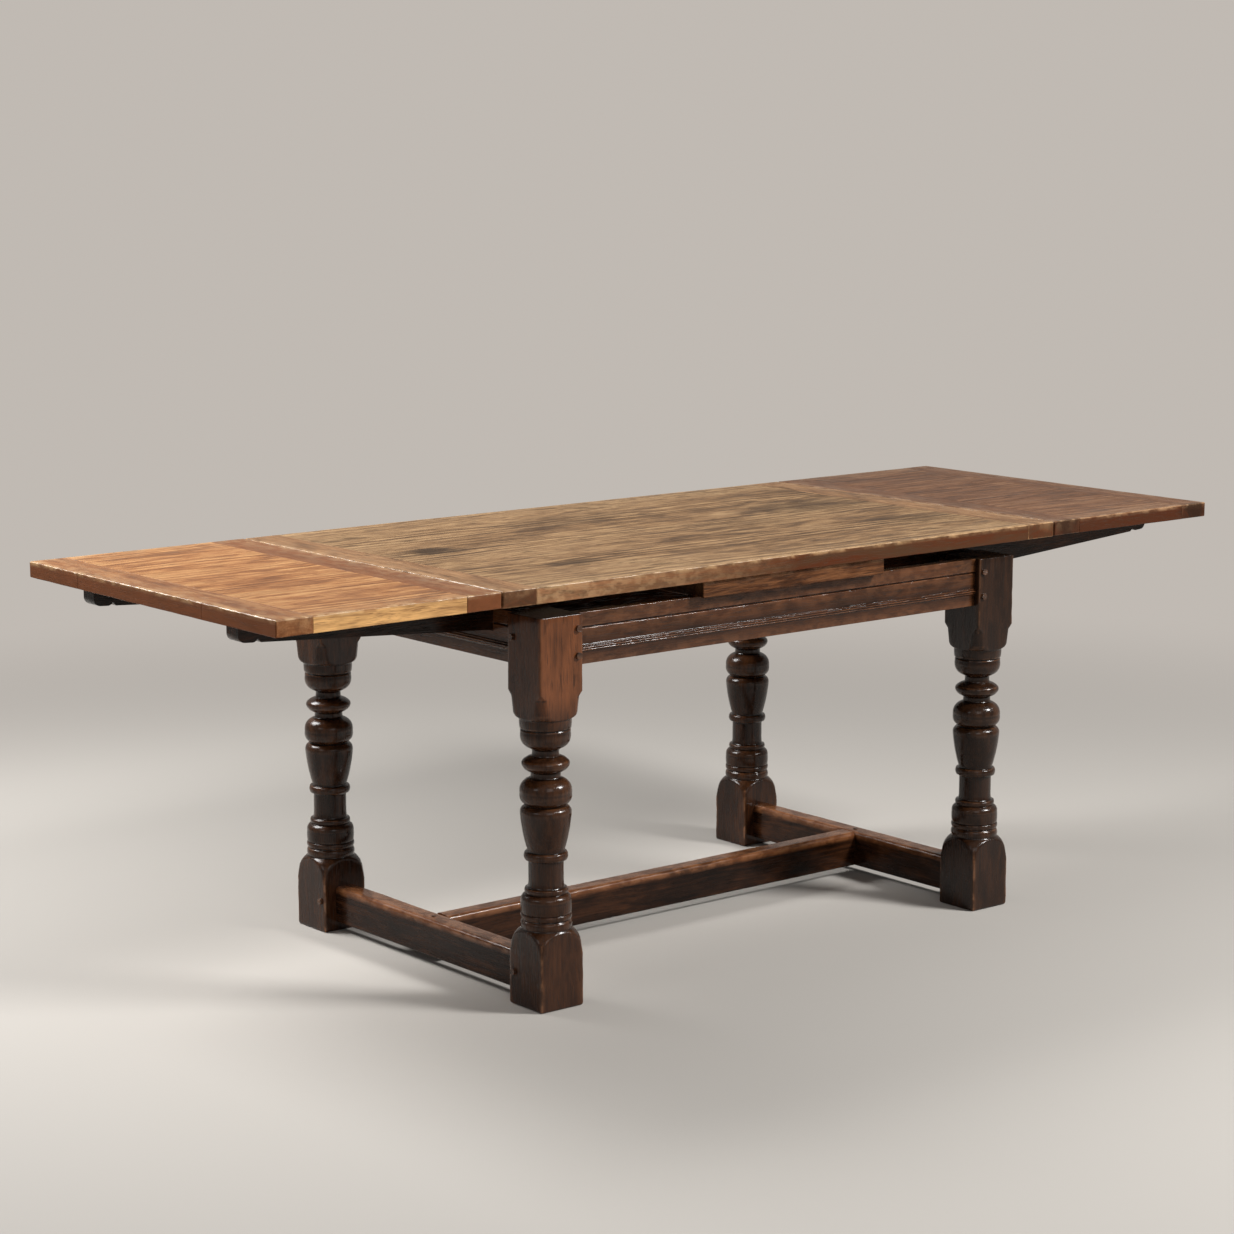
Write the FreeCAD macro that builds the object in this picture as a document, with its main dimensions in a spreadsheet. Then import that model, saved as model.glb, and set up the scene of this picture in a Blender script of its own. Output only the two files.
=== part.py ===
"""Draw-leaf table: an oak frame with turned legs, a loose main top and two drawn leaves on sloping bearers.

All lengths are millimetres. The origin is on the floor under the middle of the table, X runs along the
length, the front is at -Y and Z is up. The leaves are modelled drawn out, level with the main top.
"""

import FreeCAD, Part
import os
import Sketcher

doc = FreeCAD.newDocument("DrawLeafTable")
sheet = doc.addObject("Spreadsheet::Sheet", "Sizes")


class Size:
    """A number together with the expression that a property is bound to."""

    def __init__(self, value, text):
        self.value = value
        self.text = text

    def join(self, other, sign, value):
        text = other.text if isinstance(other, Size) else repr(other)
        return Size(value, "(" + self.text + " " + sign + " " + text + ")")

    def __add__(self, other):
        return self.join(other, "+", self.value + number(other))

    def __sub__(self, other):
        return self.join(other, "-", self.value - number(other))

    def __mul__(self, other):
        return self.join(other, "*", self.value * number(other))

    def __truediv__(self, other):
        return self.join(other, "/", self.value / number(other))

    def __neg__(self):
        return Size(-self.value, "(0 - " + self.text + ")")


def number(item):
    return item.value if isinstance(item, Size) else item


class Sizes:
    """The driving dimensions, one spreadsheet row each."""

    def __init__(self):
        self.row = 1

    def add(self, alias, value):
        sheet.set("A" + str(self.row), alias)
        sheet.set("B" + str(self.row), str(value))
        sheet.setAlias("B" + str(self.row), alias)
        setattr(self, alias, Size(value, "Sizes." + alias))
        self.row = self.row + 1


s = Sizes()

driving_sizes = {
    # The whole table and its top.
    "table_height": 760,
    "top_length": 1350,
    "top_width": 806,
    "top_thickness": 30,
    "leaf_length": 450,
    "leaf_thickness": 29,
    "leaf_gap": 3,
    "clamp_width": 72,
    "tongue_length": 24,
    "tongue_thickness": 10,
    "tongue_stop": 26,
    "clamp_peg_diameter": 8,
    # The centre board between the stored leaves.
    "centre_board_thickness": 30,
    "centre_board_clearance": 2,
    "centre_board_length": 790,
    "board_peg_diameter": 10,
    "locating_peg_diameter": 20,
    "locating_peg_spacing": 220,
    "locating_peg_height": 18,
    # The frame.
    "leg_size": 94,
    "leg_spacing_x": 1072,
    "leg_spacing_y": 676,
    "rail_depth": 92,
    "rail_thickness": 28,
    "rail_setback": 8,
    "rail_tenon_length": 44,
    "rail_tenon_thickness": 12,
    "tenon_shoulder": 10,
    "stretcher_depth": 70,
    "stretcher_thickness": 42,
    "stretcher_clearance": 18,
    "stretcher_tenon_length": 42,
    "stretcher_tenon_thickness": 14,
    "frame_peg_diameter": 12,
    "frame_peg_length": 62,
    "frame_peg_proud": 4.5,
    # The turned part of a leg, from the foot up.
    "foot_block_height": 94,
    "foot_shoulder_height": 47,
    "foot_ring_height": 14,
    "bell_height": 49,
    "collar_ring_height": 9,
    "shaft_height": 51,
    "waist_ring_height": 14,
    "vase_height": 83,
    "bulb_height": 49,
    "upper_neck_height": 11,
    "disc_height": 28,
    "bowl_height": 44,
    "collar_height": 24,
    "block_shoulder_height": 48,
    "foot_ring_radius": 45.8,
    "bell_radius": 44.8,
    "collar_ring_radius": 37.4,
    "shaft_radius": 31.6,
    "waist_ring_radius": 39.3,
    "vase_radius": 45.6,
    "bulb_radius": 46.2,
    "upper_neck_radius": 27,
    "disc_radius": 42.6,
    "bowl_neck_radius": 24.4,
    "collar_radius": 46.2,
    # The bearers that carry the leaves.
    "bearer_thickness": 36,
    "bearer_depth": 62,
    "bearer_outer_place": 256,
    "bearer_inner_place": 216,
    "bearer_inset": 36,
    "bearer_nose_radius": 13,
    "bearer_tail_hold": 120,
    "bearer_clearance": 1,
    "dowel_diameter": 9,
    "dowel_length": 34,
    "stop_peg_diameter": 12,
    "stop_peg_proud": 10,
    "stop_travel": 46,
}
for size_name, size_value in driving_sizes.items():
    s.add(size_name, size_value)

doc.recompute()

# Levels and places that follow from the driving dimensions.
half_top = s.top_length / 2
half_width = s.top_width / 2
top_under = s.table_height - s.top_thickness
frame_top = top_under - s.centre_board_thickness
leaf_under = s.table_height - s.leaf_thickness
leaf_inner = half_top + s.leaf_gap
leaf_outer = leaf_inner + s.leaf_length
half_leg = s.leg_size / 2
leg_x = s.leg_spacing_x / 2
leg_y = s.leg_spacing_y / 2
rail_under = frame_top - s.rail_depth
half_board = half_top - s.leaf_length - s.centre_board_clearance
# A leaf drops by its rise while it slides in by its travel.
leaf_rise = s.top_thickness + (s.centre_board_thickness - s.leaf_thickness) / 2
leaf_travel = s.leaf_length + s.leaf_gap
slope = leaf_rise / leaf_travel


def place(item, x, y, z):
    """Bind an object's position to three sizes."""
    for axis, size in (("x", x), ("y", y), ("z", z)):
        if isinstance(size, Size):
            item.setExpression("Placement.Base." + axis, size.text)
    return item


def ordered(low, high, sign):
    """A span along one axis, turned about the origin when the sign is negative."""
    if sign > 0:
        return low, high
    return -high, -low


def box(x, y, z):
    """A block between two sizes along each axis."""
    item = doc.addObject("Part::Box", "Block")
    item.setExpression("Length", (x[1] - x[0]).text)
    item.setExpression("Width", (y[1] - y[0]).text)
    item.setExpression("Height", (z[1] - z[0]).text)
    return place(item, x[0], y[0], z[0])


def rod(diameter, length, x, y, z, axis):
    """A round rod that starts at a point and runs along an axis: x, y, z, or -x, -y for the other way."""
    turns = {
        "x": FreeCAD.Rotation(FreeCAD.Vector(0, 1, 0), 90),
        "-x": FreeCAD.Rotation(FreeCAD.Vector(0, 1, 0), -90),
        "y": FreeCAD.Rotation(FreeCAD.Vector(1, 0, 0), -90),
        "-y": FreeCAD.Rotation(FreeCAD.Vector(1, 0, 0), 90),
        "z": FreeCAD.Rotation(),
    }
    item = doc.addObject("Part::Cylinder", "Rod")
    item.Placement = FreeCAD.Placement(FreeCAD.Vector(0, 0, 0), turns[axis])
    item.setExpression("Radius", (diameter / 2).text)
    item.setExpression("Height", length.text)
    return place(item, x, y, z)


def fuse(pieces):
    item = doc.addObject("Part::MultiFuse", "Joined")
    item.Shapes = pieces
    item.Refine = True
    return item


def cut(base, tools):
    item = doc.addObject("Part::Cut", "Worked")
    item.Base = base
    item.Tool = tools[0] if len(tools) == 1 else fuse(tools)
    return item


def group(pieces):
    item = doc.addObject("Part::Compound", "Set")
    item.Links = pieces
    return item


nodes = []


def name(item, label):
    """Give a finished piece its own label, which is also its file name."""
    item.Label = label
    nodes.append(item)
    return item


def origin_plane(body, role):
    for feature in body.Origin.OriginFeatures:
        if feature.Role == role:
            return feature
    raise RuntimeError("no plane " + role)


def profile(body, plane, corners):
    """A closed sketch through corners (across, up, bulge); the bulge bows the edge that ends there."""
    sketch = body.newObject("Sketcher::SketchObject", "Profile")
    sketch.AttachmentSupport = [(origin_plane(body, plane), "")]
    sketch.MapMode = "FlatFace"
    points = [FreeCAD.Vector(number(across), number(up), 0) for across, up, bulge in corners]
    edges = []
    for index in range(len(corners)):
        start = points[index - 1]
        end = points[index]
        bulge = corners[index][2]
        if bulge:
            along = end - start
            side = FreeCAD.Vector(along.y, -along.x, 0)
            side.normalize()
            middle = (start + end) * 0.5 + side * bulge
            edges.append((sketch.addGeometry(Part.Arc(start, middle, end), False), middle))
        else:
            edges.append((sketch.addGeometry(Part.LineSegment(start, end), False), None))
    ends = []
    for index, (edge, middle) in enumerate(edges):
        curve = sketch.Geometry[edge]
        start = points[index - 1]
        first = 1 if curve.StartPoint.distanceToPoint(start) < 1e-6 else 2
        ends.append((edge, first, 3 - first))
    for index in range(len(ends)):
        edge, first, last = ends[index]
        following, entry, leave = ends[(index + 1) % len(ends)]
        sketch.addConstraint(Sketcher.Constraint("Coincident", edge, last, following, entry))
    for index, (across, up, bulge) in enumerate(corners):
        edge, first, last = ends[index]
        for kind, size in (("DistanceX", across), ("DistanceY", up)):
            mark = sketch.addConstraint(Sketcher.Constraint(kind, -1, 1, edge, last, number(size)))
            if isinstance(size, Size):
                sketch.setExpression("Constraints[" + str(mark) + "]", size.text)
    for index, (edge, middle) in enumerate(edges):
        if middle:
            curve = sketch.Geometry[edge]
            sketch.addConstraint(Sketcher.Constraint("Radius", edge, curve.Radius))
    return sketch


def turned_solid(x, y):
    """The lathe-turned shape of one leg; it is wider than the square blocks where the wood stays square."""
    body = doc.addObject("PartDesign::Body", "Turning")
    clear = s.leg_size * 0.75
    corner = s.leg_size * 0.692
    zero = s.leg_size * 0
    z1 = s.foot_block_height + zero
    z2 = z1 + s.foot_shoulder_height
    z3 = z2 + s.foot_ring_height
    z4 = z3 + s.bell_height
    z5 = z4 + s.collar_ring_height
    z6 = z5 + s.shaft_height
    z7 = z6 + s.waist_ring_height
    z8 = z7 + s.vase_height
    z9 = z8 + s.bulb_height
    z10 = z9 + s.upper_neck_height
    z11 = z10 + s.disc_height
    z12 = z11 + s.bowl_height
    z13 = z12 + s.collar_height
    z14 = z13 + s.block_shoulder_height
    corners = [
        (zero, zero, 0),
        (clear, zero, 0),
        (clear, z1, 0),
        (corner, z1, 0),
        (corner - 4, z1 + s.foot_shoulder_height * 0.5, 0),
        (s.foot_ring_radius - 2, z2, 3),
        (s.foot_ring_radius - 2, z3, 2),
        (s.bell_radius - 4, z3 + 2, 0),
        (s.bell_radius, z3 + 5, 0),
        (s.bell_radius, z3 + s.bell_height * 0.7, 0),
        (s.collar_ring_radius - 1, z4, 3),
        (s.collar_ring_radius, z4, 0),
        (s.collar_ring_radius, z5, 1),
        (s.shaft_radius, z5, 0),
        (s.shaft_radius, z6, 0),
        (s.waist_ring_radius - 2, z6, 0),
        (s.waist_ring_radius - 2, z7, 2),
        (s.shaft_radius + 0.5, z7, 0),
        (s.vase_radius, z8 - s.vase_height * 0.17, 2),
        (s.vase_radius - 6, z8 - 1, 2),
        (s.upper_neck_radius + 5, z8, 0),
        (s.bulb_radius, z8 + s.bulb_height * 0.45, 5),
        (s.upper_neck_radius + 2, z9, 5),
        (s.upper_neck_radius, z9, 0),
        (s.upper_neck_radius, z10, 0),
        (s.disc_radius, z10 + s.disc_height * 0.45, 3),
        (s.bowl_neck_radius + 1, z11, 3),
        (s.bowl_neck_radius, z11, 0),
        (s.bowl_neck_radius, z11 + s.bowl_height * 0.3, 0),
        (s.collar_radius - 2, z12 - 1, 8),
        (s.collar_radius - 2, z12, 0),
        (s.collar_radius, z12, 0),
        (s.collar_radius, z13, 0),
        (corner - 9, z13 + s.block_shoulder_height * 0.2, 2),
        (corner - 6, z13 + s.block_shoulder_height * 0.8, 0),
        (corner, z14, 0),
        (clear, z14, 0),
        (clear, frame_top, 0),
        (zero, frame_top, 0),
    ]
    sketch = profile(body, "XZ_Plane", corners)
    turning = body.newObject("PartDesign::Revolution", "Turned")
    turning.Profile = sketch
    turning.ReferenceAxis = (sketch, ["V_Axis"])
    turning.Angle = 360
    sketch.Visibility = False
    return place(body, x, y, 0)


def rail_peg_tools(sx, sy):
    """The pegs of one leg that lock the rails: two through the long rail's tenon and one through the end rail's."""
    face_y = leg_y + half_leg + s.frame_peg_proud
    face_x = leg_x + half_leg + s.frame_peg_proud
    beside = leg_x - half_leg + 11
    behind = leg_y - half_leg + 14
    rods = []
    for level in (frame_top - s.rail_depth * 0.27, frame_top - s.rail_depth * 0.79):
        x = beside if sx > 0 else -beside
        y = face_y if sy > 0 else -face_y
        rods.append(rod(s.frame_peg_diameter, s.frame_peg_length, x, y, level, "-y" if sy > 0 else "y"))
    x = face_x if sx > 0 else -face_x
    y = behind if sy > 0 else -behind
    level = frame_top - s.rail_depth * 0.45
    rods.append(rod(s.frame_peg_diameter, s.frame_peg_length, x, y, level, "-x" if sx > 0 else "x"))
    return rods


def stretcher_peg_tools(sx, sy):
    face_x = leg_x + half_leg + s.frame_peg_proud
    behind = leg_y - half_leg + 14
    x = face_x if sx > 0 else -face_x
    y = behind if sy > 0 else -behind
    level = s.stretcher_clearance + s.stretcher_depth * 0.6
    return [rod(s.frame_peg_diameter, s.frame_peg_length, x, y, level, "-x" if sx > 0 else "x")]


def rail_tenon_z():
    return rail_under + s.tenon_shoulder, frame_top - s.tenon_shoulder


def stretcher_tenon_z():
    low = s.stretcher_clearance + s.tenon_shoulder
    return low, s.stretcher_clearance + s.stretcher_depth - s.tenon_shoulder


def long_rail_tenon(sx, sy, extra):
    """The tenon of a long rail in one leg, or its mortise when extra depth is asked for."""
    shoulder = leg_x - half_leg
    middle = leg_y + half_leg - s.rail_setback - s.rail_thickness / 2
    half = s.rail_tenon_thickness / 2
    x = ordered(shoulder, shoulder + s.rail_tenon_length + extra, sx)
    y = ordered(middle - half, middle + half, sy)
    return box(x, y, rail_tenon_z())


def end_rail_tenon(sx, sy, extra):
    shoulder = leg_y - half_leg
    middle = leg_x + half_leg - s.rail_setback - s.rail_thickness / 2
    half = s.rail_tenon_thickness / 2
    x = ordered(middle - half, middle + half, sx)
    y = ordered(shoulder, shoulder + s.rail_tenon_length + extra, sy)
    return box(x, y, rail_tenon_z())


def stretcher_tenon(sx, sy, extra):
    shoulder = leg_y - half_leg
    half = s.stretcher_tenon_thickness / 2
    x = ordered(leg_x - half, leg_x + half, sx)
    y = ordered(shoulder, shoulder + s.stretcher_tenon_length + extra, sy)
    return box(x, y, stretcher_tenon_z())


def leg(label, sx, sy):
    x = leg_x if sx > 0 else -leg_x
    y = leg_y if sy > 0 else -leg_y
    floor = s.leg_size * 0
    bar = box((x - half_leg, x + half_leg), (y - half_leg, y + half_leg), (floor, frame_top))
    shape = doc.addObject("Part::MultiCommon", "Shaped")
    shape.Shapes = [bar, turned_solid(x, y)]
    tools = [long_rail_tenon(sx, sy, 1), end_rail_tenon(sx, sy, 1), stretcher_tenon(sx, sy, 1)]
    tools = tools + rail_peg_tools(sx, sy) + stretcher_peg_tools(sx, sy)
    return name(cut(shape, tools), label)


corner_signs = (
    ("front_left", -1, -1),
    ("front_right", 1, -1),
    ("back_left", -1, 1),
    ("back_right", 1, 1),
)
for corner_name, sign_x, sign_y in corner_signs:
    leg("leg_" + corner_name, sign_x, sign_y)


def moulded_bar(length, turn):
    """A rail with its run moulding on the outer face: groove, middle band, raised bead and lower band."""
    body = doc.addObject("PartDesign::Body", "Rail")
    zero = s.rail_thickness * 0
    face = s.rail_thickness - 4
    corners = [
        (zero, zero, 0),
        (face - 2, zero, 0),
        (face - 2, s.rail_depth * 0.25, 0),
        (face, s.rail_depth * 0.25, 0),
        (face, s.rail_depth * 0.36, 4),
        (face - 1, s.rail_depth * 0.36, 0),
        (face - 1, s.rail_depth * 0.69, 0),
        (face - 4, s.rail_depth * 0.7, 0),
        (face - 4, s.rail_depth * 0.72, 0),
        (face, s.rail_depth * 0.73, 0),
        (face, s.rail_depth + zero, 0),
        (zero, s.rail_depth + zero, 0),
    ]
    sketch = profile(body, "YZ_Plane", corners)
    pad = body.newObject("PartDesign::Pad", "Run")
    pad.Profile = sketch
    pad.setExpression("Length", length.text)
    sketch.Visibility = False
    body.Placement = FreeCAD.Placement(
        FreeCAD.Vector(0, 0, 0), FreeCAD.Rotation(FreeCAD.Vector(0, 0, 1), turn)
    )
    return body


def long_rail(label, sy):
    half = leg_x - half_leg
    inner = leg_y + half_leg - s.rail_setback - s.rail_thickness
    bar = moulded_bar(half * 2, 0 if sy > 0 else 180)
    place(bar, -half if sy > 0 else half, inner if sy > 0 else -inner, rail_under)
    bar = fuse([bar, long_rail_tenon(-1, sy, 0), long_rail_tenon(1, sy, 0)])
    tools = rail_peg_tools(-1, sy)[:2] + rail_peg_tools(1, sy)[:2] + board_peg_tools(sy)
    return name(cut(bar, tools), label)


def board_peg_tools(sy):
    """The pegs that hold the centre board down on one long rail."""
    middle = leg_y + half_leg - s.rail_setback - s.rail_thickness / 2
    length = s.centre_board_thickness + s.rail_depth * 0.45
    rods = []
    for part in (-0.65, 0.65):
        x = half_board * part
        y = middle if sy > 0 else -middle
        rods.append(rod(s.board_peg_diameter, length, x, y, top_under - length, "z"))
    return rods


def bearer_places(sx):
    """The Y places of a leaf's front and back bearers; the two leaves' bearers pass side by side."""
    if sx < 0:
        return -s.bearer_inner_place, s.bearer_outer_place
    return -s.bearer_outer_place, s.bearer_inner_place


def bearer_top(x):
    """Height of a bearer's upper sliding edge at a distance from the middle, with the leaf drawn."""
    return frame_top - s.bearer_clearance + (x - half_board) * slope


def end_rail(label, sx):
    half = leg_y - half_leg
    inner = leg_x + half_leg - s.rail_setback - s.rail_thickness
    bar = moulded_bar(half * 2, -90 if sx > 0 else 90)
    place(bar, inner if sx > 0 else -inner, half if sx > 0 else -half, rail_under)
    bar = fuse([bar, end_rail_tenon(sx, -1, 0), end_rail_tenon(sx, 1, 0)])
    tools = [rail_peg_tools(sx, -1)[2], rail_peg_tools(sx, 1)[2]]
    floor = bearer_top(inner) - s.bearer_depth - 0.3
    room = s.bearer_thickness / 2 + s.bearer_clearance
    x = ordered(inner - 1, inner + s.rail_thickness + 1, sx)
    for y in bearer_places(sx):
        tools.append(box(x, (y - room, y + room), (floor, frame_top + 1)))
    return name(cut(bar, tools), label)


long_rail("front_rail", -1)
long_rail("back_rail", 1)
end_rail("left_end_rail", -1)
end_rail("right_end_rail", 1)

stretcher_top = s.stretcher_clearance + s.stretcher_depth


def centre_tenon(sx, extra):
    """The centre stretcher's tenon in an end stretcher, or its mortise."""
    shoulder = leg_x - s.stretcher_thickness / 2
    half = s.stretcher_tenon_thickness / 2
    x = ordered(shoulder, shoulder + s.stretcher_thickness * 0.75 + extra, sx)
    return box(x, (-half, half), stretcher_tenon_z())


def centre_stretcher_peg(sx):
    x = leg_x if sx > 0 else -leg_x
    length = s.stretcher_depth * 0.75
    y = s.stretcher_depth * 0
    return rod(s.frame_peg_diameter * 0.75, length, x, y, stretcher_top + 1.5 - length, "z")


def end_stretcher(label, sx):
    half_thick = s.stretcher_thickness / 2
    half = leg_y - half_leg
    x = ordered(leg_x - half_thick, leg_x + half_thick, sx)
    bar = box(x, (-half, half), (s.stretcher_clearance, stretcher_top))
    bar = fuse([bar, stretcher_tenon(sx, -1, 0), stretcher_tenon(sx, 1, 0)])
    tools = stretcher_peg_tools(sx, -1) + stretcher_peg_tools(sx, 1)
    tools = tools + [centre_tenon(sx, 1), centre_stretcher_peg(sx)]
    return name(cut(bar, tools), label)


end_stretcher("left_stretcher", -1)
end_stretcher("right_stretcher", 1)

half_run = leg_x - s.stretcher_thickness / 2
half_bar = s.stretcher_thickness / 2
run = box((-half_run, half_run), (-half_bar, half_bar), (s.stretcher_clearance, stretcher_top))
run = fuse([run, centre_tenon(-1, 0), centre_tenon(1, 0)])
name(cut(run, [centre_stretcher_peg(-1), centre_stretcher_peg(1)]), "centre_stretcher")

rail_pegs = []
stretcher_pegs = []
for corner_name, sign_x, sign_y in corner_signs:
    rail_pegs = rail_pegs + rail_peg_tools(sign_x, sign_y)
    stretcher_pegs = stretcher_pegs + stretcher_peg_tools(sign_x, sign_y)
name(group(rail_pegs), "rail_pegs")
name(group(stretcher_pegs + [centre_stretcher_peg(-1), centre_stretcher_peg(1)]), "stretcher_pegs")


def locating_peg(sy, diameter, length):
    y = s.locating_peg_spacing / 2
    x = s.locating_peg_spacing * 0
    return rod(diameter, length, x, y if sy > 0 else -y, frame_top, "z")


half_long = s.centre_board_length / 2
centre = box((-half_board, half_board), (-half_long, half_long), (frame_top, top_under))
peg_reach = s.centre_board_thickness + s.locating_peg_height
centre_pegs = [locating_peg(-1, s.locating_peg_diameter, peg_reach)]
centre_pegs.append(locating_peg(1, s.locating_peg_diameter, peg_reach))
peg_holes = [locating_peg(-1, s.locating_peg_diameter, peg_reach)]
peg_holes.append(locating_peg(1, s.locating_peg_diameter, peg_reach))
name(cut(centre, board_peg_tools(-1) + board_peg_tools(1) + peg_holes), "centre_board")
name(group(board_peg_tools(-1) + board_peg_tools(1)), "centre_board_pegs")
name(group(centre_pegs), "top_locating_pegs")


def clamp_pegs(x, spans, under, thickness):
    """Blind pegs from the underside that hold the boards' tongues in a clamp."""
    rods = []
    length = thickness * 0.8
    for low, high in spans:
        for part in (0.3, 0.7):
            y = low + (high - low) * part
            rods.append(rod(s.clamp_peg_diameter, length, x, y, under, "z"))
    return rods


def tongue(x, span, under, thickness):
    middle = under + thickness / 2
    half = s.tongue_thickness / 2
    return box(x, span, (middle - half, middle + half))


def panel(prefix, x_low, x_high, edges, under, thickness, clamp_labels):
    """A clamped panel: boards side by side along X, tongued at both ends into cross clamps, and pegged."""
    upper = under + thickness
    field_low = x_low + s.clamp_width
    field_high = x_high - s.clamp_width
    groove = s.tongue_length + 1
    reach_low = (field_low - s.tongue_length, field_low)
    reach_high = (field_high, field_high + s.tongue_length)
    peg_low = field_low - s.tongue_length / 2
    peg_high = field_high + s.tongue_length / 2
    first = edges[0]
    last = edges[-1]
    spans = []
    for index in range(len(edges) - 1):
        low = edges[index]
        high = edges[index + 1]
        if index == 0:
            low = low + s.tongue_stop
        if index == len(edges) - 2:
            high = high - s.tongue_stop
        spans.append((low, high))
    boards = []
    for index, span in enumerate(spans):
        body = box((field_low, field_high), (edges[index], edges[index + 1]), (under, upper))
        left = tongue(reach_low, span, under, thickness)
        right = tongue(reach_high, span, under, thickness)
        pegs = clamp_pegs(peg_low, [span], under, thickness)
        pegs = pegs + clamp_pegs(peg_high, [span], under, thickness)
        boards.append((fuse([body, left, right]), pegs, prefix + "_board_" + str(index + 1)))
    whole = (first + s.tongue_stop, last - s.tongue_stop)
    low_clamp = box((x_low, field_low), (first, last), (under, upper))
    low_groove = tongue((field_low - groove, field_low), whole, under, thickness)
    high_clamp = box((field_high, x_high), (first, last), (under, upper))
    high_groove = tongue((field_high, field_high + groove), whole, under, thickness)
    low_pegs = clamp_pegs(peg_low, spans, under, thickness)
    high_pegs = clamp_pegs(peg_high, spans, under, thickness)
    clamps = [
        (low_clamp, [low_groove] + low_pegs, clamp_labels[0]),
        (high_clamp, [high_groove] + high_pegs, clamp_labels[1]),
    ]
    pegs = clamp_pegs(peg_low, spans, under, thickness) + clamp_pegs(peg_high, spans, under, thickness)
    return boards, clamps, pegs


# The main top: four boards between two clamps, with two blind sockets for the locating pegs.
main_edges = [-half_width, half_width * -0.5, half_width * 0.005, half_width * 0.505, half_width * 1]
main_labels = ("main_top_left_clamp", "main_top_right_clamp")
main_parts = panel("main_top", -half_top, half_top, main_edges, top_under, s.top_thickness, main_labels)
sockets = []
for sign in (-1, 1):
    depth = s.centre_board_thickness + s.locating_peg_height + 1
    sockets.append(locating_peg(sign, s.locating_peg_diameter + 1, depth))
for index, (body, pegs, label) in enumerate(main_parts[0]):
    tools = list(pegs)
    if index in (1, 2):
        tools.append(sockets[index - 1])
    name(cut(body, tools), label)
for body, tools, label in main_parts[1]:
    name(cut(body, tools), label)
name(group(main_parts[2]), "main_top_clamp_pegs")


def bearer_blank(sx, y):
    """One bearer: level under the leaf, then sloping down inwards at the leaf's slope.

    The outer end is a rounded nose behind a small cusp.
    """
    body = doc.addObject("PartDesign::Body", "Bearer")
    outer = leaf_outer - s.bearer_inset
    tail = half_board - s.bearer_tail_hold
    meeting = half_board + (leaf_under - frame_top + s.bearer_clearance) / slope
    nose = s.bearer_nose_radius
    corners = [
        (tail, bearer_top(tail) - s.bearer_depth * 0.6, 0),
        (tail + s.bearer_depth * 0.4, bearer_top(tail + s.bearer_depth * 0.4) - s.bearer_depth, 0),
        (outer - nose * 3.4, bearer_top(outer - nose * 3.4) - s.bearer_depth, 0),
        (outer - nose * 2.9, bearer_top(outer - nose * 2.9) - s.bearer_depth + nose * 0.45, 0),
        (outer - nose * 2.1, bearer_top(outer - nose * 2.1) - s.bearer_depth, 1.5),
        (outer - nose, bearer_top(outer - nose) - s.bearer_depth, 0),
        (outer, bearer_top(outer) - s.bearer_depth + nose, 3.8),
        (outer, leaf_under, 0),
        (meeting, leaf_under, 0),
        (tail, bearer_top(tail), 0),
    ]
    sketch = profile(body, "XZ_Plane", corners)
    pad = body.newObject("PartDesign::Pad", "Thickness")
    pad.Profile = sketch
    pad.setExpression("Length", s.bearer_thickness.text)
    sketch.Visibility = False
    turn = 0 if sx > 0 else 180
    body.Placement = FreeCAD.Placement(
        FreeCAD.Vector(0, 0, 0), FreeCAD.Rotation(FreeCAD.Vector(0, 0, 1), turn)
    )
    half = s.bearer_thickness / 2
    start = y + half if sx > 0 else y - half
    return place(body, s.leg_size * 0, start, 0)


def dowels(sx, y):
    """Hidden dowels between a bearer and its leaf."""
    rods = []
    spread = (
        leaf_outer - s.clamp_width - s.leaf_length * 0.08,
        leaf_outer - s.clamp_width - s.leaf_length * 0.34,
        leaf_outer - s.clamp_width - s.leaf_length * 0.6,
        leaf_inner + s.clamp_width * 0.45,
    )
    for x in spread:
        place_x = x if sx > 0 else -x
        rods.append(rod(s.dowel_diameter, s.dowel_length, place_x, y, leaf_under - s.dowel_length / 2, "z"))
    return rods


def stop_peg(sx, y, side):
    """The peg near a bearer's tail that meets the end rail when the leaf is drawn too far."""
    inner = leg_x + half_leg - s.rail_setback - s.rail_thickness
    x = inner - s.stop_travel - s.stop_peg_diameter / 2
    level = bearer_top(x) - s.bearer_depth / 2
    place_x = x if sx > 0 else -x
    length = s.bearer_thickness + s.stop_peg_proud
    start = y - s.bearer_thickness / 2 if side > 0 else y + s.bearer_thickness / 2
    return rod(s.stop_peg_diameter, length, place_x, start, level, "y" if side > 0 else "-y")


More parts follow.
